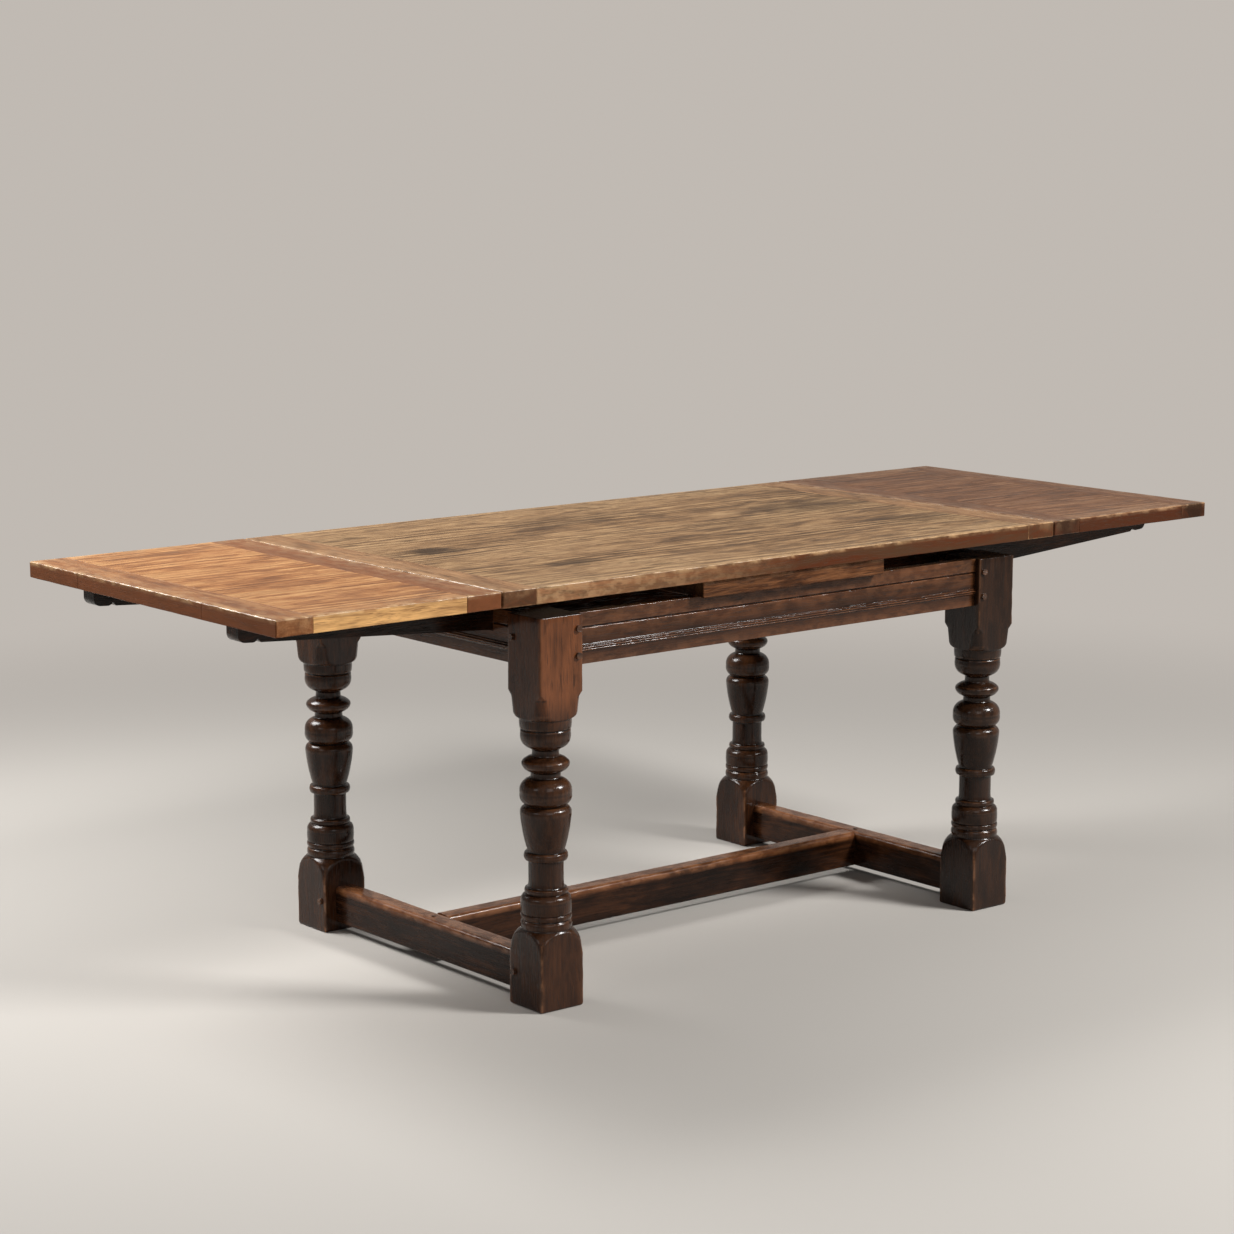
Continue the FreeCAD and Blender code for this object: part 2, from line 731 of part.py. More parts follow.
def leaf(prefix, sx):
    """A leaf in its drawn place with its two bearers."""
    x_low, x_high = ordered(leaf_inner, leaf_outer, sx)
    edges = [-half_width, half_width * -0.347, half_width * 0.337, half_width * 1]
    labels = (prefix + "_inner_clamp", prefix + "_outer_clamp")
    if sx < 0:
        labels = (labels[1], labels[0])
        edges = [-half_width, half_width * -0.337, half_width * 0.347, half_width * 1]
    boards, clamps, pegs = panel(prefix, x_low, x_high, edges, leaf_under, s.leaf_thickness, labels)
    front, back = bearer_places(sx)
    for index, (body, tools, label) in enumerate(boards):
        if index != 1:
            y = front if index == 0 else back
            tools = tools + dowels(sx, y)[:3]
        name(cut(body, tools), label)
    for body, tools, label in clamps:
        if label.endswith("inner_clamp"):
            tools = tools + [dowels(sx, front)[3], dowels(sx, back)[3]]
        name(cut(body, tools), label)
    name(group(pegs), prefix + "_clamp_pegs")
    pieces = []
    stops = []
    for y, end in ((front, "front"), (back, "back")):
        side = 1 if sx < 0 else -1
        tools = dowels(sx, y) + [stop_peg(sx, y, side)]
        name(cut(bearer_blank(sx, y), tools), prefix + "_" + end + "_bearer")
        pieces = pieces + dowels(sx, y)
        stops.append(stop_peg(sx, y, side))
    name(group(pieces), prefix + "_bearer_dowels")
    name(group(stops), prefix + "_stop_pegs")


leaf("left_leaf", -1)
leaf("right_leaf", 1)

doc.recompute()

for item in doc.Objects:
    if "Invalid" in item.State or "Error" in item.State:
        raise RuntimeError("object in error: " + item.Name + " " + item.Label)

os.makedirs("parts", exist_ok=True)
for item in nodes:
    shape = item.Shape
    if shape.isNull() or not shape.isValid() or shape.Volume <= 0:
        raise RuntimeError("bad shape: " + item.Label)
    shape.exportStep("parts/" + item.Label + ".step")
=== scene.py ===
"""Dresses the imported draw-leaf table with worn oak pieces and sets a pale floor, soft light and a camera."""

import math

import bmesh
import bpy
from bpy.props import FloatProperty, FloatVectorProperty, PointerProperty
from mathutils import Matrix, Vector, noise


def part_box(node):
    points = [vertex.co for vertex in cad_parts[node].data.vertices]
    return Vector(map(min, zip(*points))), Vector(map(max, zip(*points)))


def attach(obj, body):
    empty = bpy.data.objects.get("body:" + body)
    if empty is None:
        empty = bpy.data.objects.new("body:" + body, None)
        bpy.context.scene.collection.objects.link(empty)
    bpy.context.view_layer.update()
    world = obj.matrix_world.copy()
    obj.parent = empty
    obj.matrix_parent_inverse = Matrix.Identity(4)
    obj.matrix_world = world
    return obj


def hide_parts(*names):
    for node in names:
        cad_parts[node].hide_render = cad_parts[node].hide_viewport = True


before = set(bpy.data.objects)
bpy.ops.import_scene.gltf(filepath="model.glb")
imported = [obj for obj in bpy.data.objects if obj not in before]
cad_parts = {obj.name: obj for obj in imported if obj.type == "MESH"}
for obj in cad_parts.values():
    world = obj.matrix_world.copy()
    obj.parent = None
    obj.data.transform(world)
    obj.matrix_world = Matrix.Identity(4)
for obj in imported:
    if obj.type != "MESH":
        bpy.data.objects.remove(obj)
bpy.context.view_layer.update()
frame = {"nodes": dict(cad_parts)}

bl_info = {
    "name": "Draw-leaf oak table",
    "version": (1, 0, 0),
    "blender": (4, 5, 0),
    "location": "3D View > Sidebar > Table",
    "description": "Builds the worn oak pieces of a draw-leaf table on its packed frame",
    "category": "Add Mesh",
}


# Labels of the colours and shares of the kinds of oak, and words on what they do.
DARK = ("Dark grain", "Colour of the dark streaks")
MID = ("Middle grain", "Main colour")
LIGHT = ("Light grain", "Colour of the pale streaks")
WORN = ("Worn edge", "Colour of the worn edges")
ROUGHNESS = ("Roughness", "Roughness of the surface")
STAIN = ("Stain", "Strength of the dark stains")
FIGURE = ("Figure", "Strength of the growth rings")
STREAK = ("Streak", "Strength of the streaks")
MOTTLE = ("Mottle", "Strength of the patches")
CLAMP = ("Clamp", "Tint of the clamps")
TINT = ("Tint", "Second tint")
# The edge face colour is also painted light on some pieces: a painted highlight on the left leaf and painted
# shade on the ends of the centre board.
EDGE = ("Edge face", "Colour of the faces of the edge")


def colour(label, words, default):
    """A colour that a user may change."""
    return FloatVectorProperty(
        name=label, description=words, subtype="COLOR", size=3, min=0.0, max=1.0, default=default
    )


def length(label, words, default):
    """A length in metres that a user may change."""
    return FloatProperty(name=label, description=words, unit="LENGTH", min=0.0, default=default)


def share(label, words, default):
    """A share between nothing and all that a user may change."""
    return FloatProperty(name=label, description=words, subtype="FACTOR", min=0.0, max=1.0, default=default)


class TableSizes(bpy.types.PropertyGroup):
    """Sizes of the worn edges and surfaces."""

    arris: length("Worn arris", "Rounding of the edges that hands and sleeves have worn", 0.0024)
    joint: length("Joint edge", "Rounding of the edges where boards meet", 0.0007)
    dents: length("Edge dents", "Depth of the dents along the worn edges", 0.0012)
    sway: length("Surface sway", "How far a planed surface dips between its high spots", 0.0004)
    spacing: length("Mesh spacing", "Distance between the rows of points along a piece", 0.009)
    leg_arris: length("Leg arris", "Rounding of the square blocks of the legs", 0.0034)
    step_wear: length("Foot wear", "Depth that feet have worn off the stretchers", 0.004)


class TopOak(bpy.types.PropertyGroup):
    """Colours of the main top."""

    dark: colour(*DARK, (0.066, 0.034, 0.016))
    mid: colour(*MID, (0.255, 0.145, 0.069))
    light: colour(*LIGHT, (0.45, 0.285, 0.145))
    worn: colour(*WORN, (0.6, 0.37, 0.18))
    clamp: colour(*CLAMP, (0.33, 0.142, 0.062))
    edges_wax_and_painted_light: colour(*EDGE, (0.085, 0.021, 0.006))
    roughness: share(*ROUGHNESS, 0.42)
    stain: share(*STAIN, 0.8)
    figure: share(*FIGURE, 0.26)
    streak: share(*STREAK, 0.2)
    mottle: share(*MOTTLE, 0.46)


class LeftLeafOak(bpy.types.PropertyGroup):
    """Colours of the left leaf."""

    dark: colour(*DARK, (0.125, 0.045, 0.017))
    mid: colour(*MID, (0.35, 0.148, 0.054))
    light: colour(*LIGHT, (0.6, 0.33, 0.14))
    worn: colour(*WORN, (0.76, 0.5, 0.25))
    clamp: colour(*CLAMP, (0.2, 0.066, 0.025))
    # The bright gold of the edge faces is a painted highlight.
    edges_wax_and_painted_light: colour(*EDGE, (0.92, 0.52, 0.2))
    roughness: share(*ROUGHNESS, 0.38)
    stain: share(*STAIN, 0.3)
    figure: share(*FIGURE, 0.2)
    streak: share(*STREAK, 0.22)
    mottle: share(*MOTTLE, 0.46)


class RightLeafOak(bpy.types.PropertyGroup):
    """Colours of the right leaf."""

    dark: colour(*DARK, (0.055, 0.023, 0.011))
    mid: colour(*MID, (0.165, 0.073, 0.035))
    light: colour(*LIGHT, (0.27, 0.138, 0.07))
    worn: colour(*WORN, (0.46, 0.27, 0.14))
    clamp: colour(*CLAMP, (0.17, 0.07, 0.033))
    edges_wax_and_painted_light: colour(*EDGE, (0.065, 0.016, 0.005))
    roughness: share(*ROUGHNESS, 0.36)
    stain: share(*STAIN, 0.3)
    figure: share(*FIGURE, 0.16)
    streak: share(*STREAK, 0.2)
    mottle: share(*MOTTLE, 0.34)


class FrameOak(bpy.types.PropertyGroup):
    """Colours of the dark waxed frame."""

    dark: colour(*DARK, (0.006, 0.0027, 0.0016))
    mid: colour(*MID, (0.024, 0.009, 0.004))
    light: colour(*LIGHT, (0.066, 0.024, 0.0095))
    worn: colour(*WORN, (0.32, 0.13, 0.05))
    # The lit tint is the brighter brown of the rails and the stretcher tops, and painted light on the fronts
    # of the upper leg blocks.
    clamp: colour("Lit tint", "Brighter brown of the rails and the leg blocks", (0.25, 0.082, 0.029))
    # The old wax colour is dark wax and painted shade in the grooves of the frame, and painted black shade on
    # the tops of the legs and the hidden faces of the rails.
    edges_wax_and_painted_light: colour("Old wax", "Dark wax in the grooves of the frame", (0.006, 0.0034, 0.0022))
    roughness: share(*ROUGHNESS, 0.16)
    stain: share(*STAIN, 0.5)
    figure: share(*FIGURE, 0.08)
    streak: share(*STREAK, 0.14)
    mottle: share(*MOTTLE, 0.46)


class BoardOak(bpy.types.PropertyGroup):
    """Colours of the centre board."""

    dark: colour(*DARK, (0.02, 0.0085, 0.004))
    mid: colour(*MID, (0.075, 0.027, 0.01))
    light: colour(*LIGHT, (0.19, 0.077, 0.03))
    worn: colour(*WORN, (0.4, 0.2, 0.09))
    clamp: colour(*TINT, (0.085, 0.033, 0.014))
    # The edge face colour darkens the ends of the board as painted shade.
    edges_wax_and_painted_light: colour(*EDGE, (0.03, 0.011, 0.005))
    roughness: share(*ROUGHNESS, 0.42)
    stain: share(*STAIN, 0.3)
    figure: share(*FIGURE, 0.14)
    streak: share(*STREAK, 0.24)
    mottle: share(*MOTTLE, 0.36)


class PegOak(bpy.types.PropertyGroup):
    """Colours of the pegs and dowels."""

    dark: colour(*DARK, (0.02, 0.009, 0.005))
    mid: colour(*MID, (0.07, 0.028, 0.012))
    light: colour(*LIGHT, (0.13, 0.052, 0.022))
    worn: colour(*WORN, (0.24, 0.12, 0.06))
    clamp: colour(*TINT, (0.075, 0.03, 0.014))
    edges_wax_and_painted_light: colour(*EDGE, (0.05, 0.02, 0.01))
    roughness: share(*ROUGHNESS, 0.22)
    stain: share(*STAIN, 0.2)
    figure: share(*FIGURE, 0.1)
    streak: share(*STREAK, 0.2)
    mottle: share(*MOTTLE, 0.3)


class DrawTable(bpy.types.PropertyGroup):
    """Everything that a user may change about the table."""

    sizes: PointerProperty(name="Sizes", description="Sizes of the worn edges", type=TableSizes)
    top: PointerProperty(name="Main top", description="Colours of the main top", type=TopOak)
    left: PointerProperty(name="Left leaf", description="Colours of the left leaf", type=LeftLeafOak)
    right: PointerProperty(name="Right leaf", description="Colours of the right leaf", type=RightLeafOak)
    frame: PointerProperty(name="Frame", description="Colours of the frame", type=FrameOak)
    board: PointerProperty(name="Centre board", description="Colours of the centre board", type=BoardOak)
    peg: PointerProperty(name="Pegs", description="Colours of the pegs", type=PegOak)


class Signal:
    """A socket of a material's nodes that takes part in Python arithmetic."""

    def __init__(self, tree, socket=None):
        self.tree = tree
        self.socket = socket

    def node(self, kind, settings=None, inputs=None, output=0):
        """Adds a node: its settings are set first, then the values or links of its sockets."""
        made = self.tree.nodes.new(kind)
        settings = dict(settings or {})
        stops = settings.pop("stops", [])
        for key, value in settings.items():
            setattr(made, key, value)
        for index, (position, shade) in enumerate(stops):
            ramp = made.color_ramp
            stop = ramp.elements[index] if index < len(ramp.elements) else ramp.elements.new(position)
            stop.position = position
            stop.color = shade
        for key, value in (inputs or {}).items():
            if isinstance(value, Signal):
                self.tree.links.new(value.socket, made.inputs[key])
            else:
                made.inputs[key].default_value = value
        return Signal(self.tree, made.outputs[output])

    def maths(self, operation, first, second):
        """One step of arithmetic on numbers or sockets."""
        return self.node("ShaderNodeMath", {"operation": operation}, {0: first, 1: second})

    def __add__(self, other):
        return self.maths("ADD", self, other)

    def __radd__(self, other):
        return self.maths("ADD", other, self)

    def __sub__(self, other):
        return self.maths("SUBTRACT", self, other)

    def __rsub__(self, other):
        return self.maths("SUBTRACT", other, self)

    def __mul__(self, other):
        return self.maths("MULTIPLY", self, other)

    def __rmul__(self, other):
        return self.maths("MULTIPLY", other, self)

    def __pow__(self, other):
        return self.maths("POWER", self, other)

    def __rpow__(self, other):
        return self.maths("POWER", other, self)

    def stretched(self, factors):
        """A vector with each of its three directions scaled."""
        return self.node("ShaderNodeVectorMath", {"operation": "MULTIPLY"}, {0: self, 1: factors})

    def moved(self, other):
        """The sum of two vectors."""
        return self.node("ShaderNodeVectorMath", {"operation": "ADD"}, {0: self, 1: other})

    def cloud(self, detail, output=0):
        """Noise at a vector."""
        sockets = {"Vector": self, "Scale": 1.0, "Detail": detail, "Roughness": 0.6}
        return self.node("ShaderNodeTexNoise", None, sockets, output)

    def between(self, low, high):
        """A smooth step from 0 at the low value to 1 at the high one."""
        sockets = {"Value": self, "From Min": low, "From Max": high}
        return self.node("ShaderNodeMapRange", {"interpolation_type": "SMOOTHSTEP"}, sockets)

    def blend(self, first, second):
        """Mixes two colours, which are sockets 6 and 7 of the node, by this value."""
        return self.node("ShaderNodeMix", {"data_type": "RGBA"}, {0: self, 6: first, 7: second}, 2)

    def part(self, index):
        """One of a vector's three numbers."""
        return self.node("ShaderNodeSeparateXYZ", None, {0: self}, index)

    def size(self):
        """The length of a vector."""
        return self.node("ShaderNodeVectorMath", {"operation": "LENGTH"}, {0: self}, "Value")

    def attribute(self, name, output):
        """A value that a mesh carries at its points."""
        return self.node("ShaderNodeAttribute", {"attribute_name": name}, output=output)


def solid_colour(shade):
    """A colour that lets nothing through."""
    return (*shade, 1.0)


# How often each pattern of the grain comes in a metre of wood, along it and in its two cross directions.
DRIFT_SCALE = (1.7, 7.0, 7.0)
RIPPLE_SCALE = (5.0, 30.0, 30.0)
FIBRE_SCALE = (24.0, 520.0, 520.0)
PORE_SCALE = (20.0, 700.0, 700.0)
PATCH_SCALE = (2.6, 7.0, 7.0)
FLECK_SCALE = (13.0, 42.0, 42.0)
DASH_SCALE = (15.0, 95.0, 95.0)
RUB_SCALE = (34.0, 60.0, 60.0)
STREAKS_ALONG = 4.5
STREAKS_ACROSS = 120.0
RINGS_PER_METRE = 210.0

# How far the drift and the ripple push the grain aside, in metres.
DRIFT_REACH = (0.0, 0.05, 0.04)
RIPPLE_REACH = (0.0, 0.01, 0.01)

# Moves noise from between 0 and 1 to about 0.
CENTRED = (-0.5, -0.5, -0.5)

# Strengths of the marks and of the sheen as shares, and the height of the relief in metres.
PORE_STRENGTH = 0.6
DASH_STRENGTH = 0.5
STAIN_SHADE = 0.45
SHEEN = 0.9
SHEEN_ROUGHNESS = 0.25
RELIEF_HEIGHT = 0.0008

# The values that each made piece carries: its wear, its share of the second tint, and its share of the colour
# of edge faces and waxed grooves, which also paints light and shade on some faces.
SHADES = ("wear", "tint", "edges_wax_and_painted_light")


def oak(label, look, carried=False, stains=(), gloss=0.1, relief=0.5, spread=0.1, coarse=1.0):
    """An old oak finish: drifting growth rings, streaks, open pores, stains, and wear along the edges.

    A carried finish is for nodes that have no grain of their own. Each stain has a place on the table, a
    length, a width and a strength. A small spread gives more contrast, and a coarse grain has fewer lines.
    """
    material = bpy.data.materials.new(label)
    start = fresh(material)
    place = start.node("ShaderNodeTexCoord", output="Object")
    grain = place if carried else start.attribute("grain", "Vector")
    wear, tint, edges_wax_and_painted_light = [start.attribute(name, "Fac") for name in SHADES]
    dark = solid_colour(look.dark)
    drift = grain.stretched(DRIFT_SCALE).cloud(2.0, "Color").moved(CENTRED)
    ripple = grain.stretched(RIPPLE_SCALE).cloud(1.0, "Color").moved(CENTRED)
    wavy = grain.moved(drift.stretched(DRIFT_REACH)).moved(ripple.stretched(RIPPLE_REACH))
    across = wavy.part(1)
    depth = wavy.part(2)
    heart = (across * across + depth * depth) ** 0.5
    ring_sockets = {"W": heart * (RINGS_PER_METRE / coarse), "Scale": 1.0, "Detail": 3.0, "Roughness": 0.65}
    rings = start.node("ShaderNodeTexNoise", {"noise_dimensions": "1D"}, ring_sockets)
    streaks = wavy.stretched((STREAKS_ALONG, STREAKS_ACROSS / coarse, STREAKS_ACROSS / coarse)).cloud(4.0)
    fibres = wavy.stretched(FIBRE_SCALE).cloud(2.0)
    pores = wavy.stretched(PORE_SCALE).cloud(1.0).between(0.56, 0.7)
    patches = grain.stretched(PATCH_SCALE).cloud(3.0)
    flecks = wavy.stretched(FLECK_SCALE).cloud(5.0)
    dashes = wavy.stretched(DASH_SCALE).cloud(3.0).between(0.56, 0.68)
    total = look.figure + look.mottle + 1.5 * look.streak
    threads = look.streak * (streaks + 0.5 * fibres)
    sums = look.figure * rings + look.mottle * (0.45 * patches + 0.55 * flecks) + threads
    tone = (sums * (1 / total)).between(0.5 - spread, 0.5 + spread)
    stops = [(0.0, dark), (0.5, solid_colour(look.mid)), (1.0, solid_colour(look.light))]
    shade = tone.node("ShaderNodeValToRGB", {"stops": stops}, {0: tone})
    # The second tint: a real tint on most pieces, and painted light on the fronts of the leg blocks.
    tint_and_painted_light = (tone * 0.65 + 0.35).blend(dark, solid_colour(look.clamp))
    shade = tint.blend(shade, tint_and_painted_light)
    # Colour of edge faces and waxed grooves, also used for painted light and shade: a painted highlight on the
    # left leaf's edges, dark wax and painted shade in the frame's grooves, painted shade on faces hidden under
    # the top and on the ends of the centre board.
    edge_and_painted_colour = (tone * 0.8 + 0.2).blend(dark, solid_colour(look.edges_wax_and_painted_light))
    shade = edges_wax_and_painted_light.blend(shade, edge_and_painted_colour)
    shade = (pores * PORE_STRENGTH).blend(shade, dark)
    shade = (dashes * DASH_STRENGTH).blend(shade, dark)
    shade = ((flecks * patches).between(0.31, 0.42) * look.stain).blend(shade, dark)
    for spot_x, spot_y, spot_length, spot_width, strength in stains:
        offset = place.moved((-spot_x, -spot_y, 0.0)).stretched((1 / spot_length, 1 / spot_width, 0.0))
        blot = 1 - (offset.size() + 1.8 * (flecks - 0.5) + 0.5 * (streaks - 0.5)).between(0.2, 1.0)
        shade = (blot * strength).blend(shade, solid_colour([part * STAIN_SHADE for part in look.dark]))
    rub = grain.stretched(RUB_SCALE).cloud(5.0).between(0.42, 0.6)
    rubbed = wear * (0.25 + 0.85 * rub)
    shade = rubbed.blend(shade, solid_colour(look.worn))
    rough = look.roughness + 0.3 * (flecks - 0.5) + 0.2 * pores - 0.16 * rubbed
    height = 0.6 * fibres + 0.6 * streaks - 0.6 * pores
    bump_sockets = {"Strength": relief, "Distance": RELIEF_HEIGHT, "Height": height}
    bump = height.node("ShaderNodeBump", None, bump_sockets)
    sockets = {"Base Color": shade, "Roughness": rough, "Normal": bump, "Specular IOR Level": gloss}
    sockets["Coat Weight"] = SHEEN * rubbed
    sockets["Coat Roughness"] = SHEEN_ROUGHNESS
    shader = start.node("ShaderNodeBsdfPrincipled", None, sockets)
    link_surface(start, shader)
    return material


def fresh(owner):
    """Empties the nodes of a material or a world and gives a start for new ones."""
    owner.use_nodes = True
    owner.node_tree.nodes.clear()
    return Signal(owner.node_tree)


def link_surface(start, shader, kind="ShaderNodeOutputMaterial"):
    """Gives a shader to the surface of a material or a world."""
    output = start.tree.nodes.new(kind)
    start.tree.links.new(shader.socket, output.inputs["Surface"])


def wobble(*place):
    """Smooth repeatable noise between -1 and 1 at a place."""
    return noise.noise(Vector(place))


def limited(value, low=0.0, high=1.0):
    """A value kept between two limits."""
    return max(low, min(high, value))


def finished_piece(label, rings, grain, look, place):
    """Joins rings of points with their shades into a closed piece with grain, and puts it on its body."""
    axis, heart, shift = grain
    material, slot = look
    body, nodes = place
    count = len(rings[0])
    spots = [spot for ring in rings for spot in ring]
    points = [point for point, shades in spots]
    faces = []
    for row in range(len(rings) - 1):
        for step in range(count):
            after = (step + 1) % count
            lower = row * count
            upper = lower + count
            faces.append((lower + step, lower + after, upper + after, upper + step))
    last = (len(rings) - 1) * count
    faces.append(tuple(reversed(range(count))))
    faces.append(tuple(range(last, last + count)))
    mesh = bpy.data.meshes.new(label)
    mesh.from_pydata(points, [], faces)
    work = bmesh.new()
    work.from_mesh(mesh)
    bmesh.ops.recalc_face_normals(work, faces=work.faces[:])
    for face in work.faces:
        face.smooth = len(face.verts) == 4
    work.to_mesh(mesh)
    work.free()
    first, second = [index for index in range(3) if index != axis]
    grains = []
    for point in points:
        grains.extend((point[axis] + shift, point[first] - heart[first], point[second] - heart[second]))
    mesh.attributes.new("grain", "FLOAT_VECTOR", "POINT")
    mesh.attributes["grain"].data.foreach_set("vector", grains)
    for index, name in enumerate(SHADES):
        mesh.attributes.new(name, "FLOAT", "POINT")
        mesh.attributes[name].data.foreach_set("value", [shades[index] for point, shades in spots])
    piece = bpy.data.objects.new(label, mesh)
    bpy.context.collection.objects.link(piece)
    mesh.materials.append(material)
    normals = piece.modifiers.new("Flat faces", "WEIGHTED_NORMAL")
    normals.keep_sharp = True
    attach(piece, body)
    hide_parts(*nodes)


# Sizes of a board's wear in metres, and its strengths as shares. The lower edges are rounded less than the
# upper ones, and the edge counts as reaching a little further in than its rounding.
UNDER_EASE = 0.6
EDGE_REACH = 1.2
ACROSS_STEP = 0.012
SPLIT_STEPS = (-0.0011, -0.0006, 0.0, 0.0006, 0.0011)
SPLIT_ROOM = 0.002
SPLIT_DEPTH = 0.003
# The pale rim along the worn arrises is wear and also a painted highlight.
RIM_REACH = 0.0018
RIM_WEAR_AND_HIGHLIGHT = 0.7
BAND_REACH = 0.05
BAND_WEAR = 0.22
SCUFF_WEAR = 0.36
# The least share of the edge colour, where the painted light on the open sides is brightest.
FADED_DEPTH = 0.1


def stations(low, high, ends, spacing, splits=()):
    """Places along a piece and how far its section is drawn in there, with rounded ends."""
    turns = [math.radians(angle) for angle in (90, 67, 45, 22, 0)]
    first = [(low + ends[0] * (1 - math.sin(t)), ends[0] * (1 - math.cos(t))) for t in turns]
    final = [(high - ends[1] * (1 - math.sin(t)), ends[1] * (1 - math.cos(t))) for t in reversed(turns)]
    start = low + ends[0]
    stop = high - ends[1]
    count = max(2, round((stop - start) / spacing))
    middle = [(start + (stop - start) * step / count, 0.0) for step in range(1, count)]
    for split in splits:
        middle = [spot for spot in middle if abs(spot[0] - split) > SPLIT_ROOM]
        middle = middle + [(split + step, 0.0) for step in SPLIT_STEPS]
    middle.sort()
    return first + middle + final


def point_at(axis, at, side, up):
    """A point of a piece that lies along X or Y, from its places along, across and up."""
    return (at, side, up) if axis == 0 else (side, at, up)


def board_section(low, high, across, inset, radii, counts):
    """Points round a board's section: places across and up, and whether each is on a rounded corner."""
    left = low[across] + inset
    right = high[across] - inset
    bottom = low[2] + inset
    top = high[2] - inset
    corners = [(left, bottom), (right, bottom), (right, top), (left, top)]
    inward = [(1, 1), (-1, 1), (-1, -1), (1, -1)]
    start_angles = [180, 270, 0, 90]
    points = []
    for index in range(4):
        radius = radii[index]
        centre_x = corners[index][0] + inward[index][0] * radius
        centre_y = corners[index][1] + inward[index][1] * radius
        for step in range(5):
            angle = math.radians(start_angles[index] + 22.5 * step)
            points.append((centre_x + radius * math.cos(angle), centre_y + radius * math.sin(angle), True))
        after = (index + 1) % 4
        next_x = corners[after][0] + inward[after][0] * radii[after]
        next_y = corners[after][1] + inward[after][1] * radii[after]
        angle = math.radians(start_angles[index] + 90)
        last = points[-1]
        goal = (next_x + radii[after] * math.cos(angle), next_y + radii[after] * math.sin(angle))
        number = counts[index % 2]
        for step in range(1, number):
            part = step / number
            side = last[0] + (goal[0] - last[0]) * part
            up = last[1] + (goal[1] - last[1]) * part
            points.append((side, up, False))
    return points


def worn_board(label, low, high, axis, exposed, look, place, tints, seed, splits=(), wear_and_painted_light_fade=None):
    """A board with worn arrises on its open sides and fine edges where it meets another board.

    The tints are pairs of tint and depth for its flat faces, its open sides and its open ends. The last
    argument is the stretch along the board over which the depth of its open sides grows to the whole and the
    scuffs on
    them go: towards its start the open sides are painted lighter, as painted light, and scuffed by wear.
    """
    sizes = bpy.context.scene.draw_table.sizes
    across = 1 - axis
    open_low, open_high, open_start, open_end = exposed
    fine = sizes.joint
    worn = sizes.arris
    edge_reach = worn * EDGE_REACH
    base = [
        worn * UNDER_EASE if open_low else fine,
        worn * UNDER_EASE if open_high else fine,
        worn if open_high else fine,
        worn if open_low else fine,
    ]
    ends = (worn if open_start else fine, worn if open_end else fine)
    width = high[across] - low[across]
    counts = (max(2, round(width / ACROSS_STEP)), 4)
    rings = []
    for at, inset in stations(low[axis], high[axis], ends, sizes.spacing, splits):
        radii = []
        for index in range(4):
            swell = 1 + 0.7 * wobble(at * 30, seed + index * 3.7, 0.3) if base[index] > fine else 1
            radii.append(max(fine * 0.5, base[index] * swell))
        section = board_section(low, high, across, inset, radii, counts)
        split = any(abs(at - place_along) < 0.0003 for place_along in splits)
        end_face = (open_start and at == low[axis]) or (open_end and at == high[axis])
        near_end = min(at - low[axis] if open_start else 1.0, high[axis] - at if open_end else 1.0)
        ring = []
        for side, up, _ in section:
            near = min(side - low[across] if open_low else 1.0, high[across] - side if open_high else 1.0)
            dent = 0.5 + 0.35 * wobble(at * 42, up * 60, seed + side * 8)
            dent = dent + 0.3 * wobble(at * 12, up * 25, seed)
            dent = sizes.dents * dent * dent
            if split:
                dent = SPLIT_DEPTH
            if open_low and side - low[across] < edge_reach:
                side = side + dent
            if open_high and high[across] - side < edge_reach:
                side = side - dent
            top_dip = 0.0
            if up > high[2] - worn * 0.5:
                top_dip = sizes.sway * (0.5 + 0.5 * wobble(at * 5, side * 14, seed))
            point = point_at(axis, at, side, up - top_dip)
            edge = max(0.0, min(near, near_end))
            below = high[2] - up
            # Pale rim along the arris: wear and a painted highlight.
            rim_and_highlight = RIM_WEAR_AND_HIGHLIGHT * math.exp(-max(edge, below) / RIM_REACH)
            band = BAND_WEAR * math.exp(-edge / BAND_REACH) if below < worn else 0.0
            scuff = 0.0
            tint, depth = tints[0]
            if end_face or split:
                tint, depth = tints[2]
            elif near < edge_reach and below > worn * 0.8:
                tint, depth = tints[1]
                # Painted light: the open sides are painted lighter, and scuffed, towards the start of the
                # stretch.
                if wear_and_painted_light_fade:
                    grown = limited((at - wear_and_painted_light_fade[0]) / (wear_and_painted_light_fade[1] - wear_and_painted_light_fade[0]))
                    depth = depth * (FADED_DEPTH + (1 - FADED_DEPTH) * grown)
                    scuff = SCUFF_WEAR * (1 - grown)
            ring.append((point, (max(rim_and_highlight + band, scuff), tint, depth)))
        rings.append(ring)
    heart = ((low[0] + high[0]) / 2, (low[1] + high[1]) / 2, low[2] - 0.05)
    finished_piece(label, rings, (axis, heart, seed * 5.3), look, place)


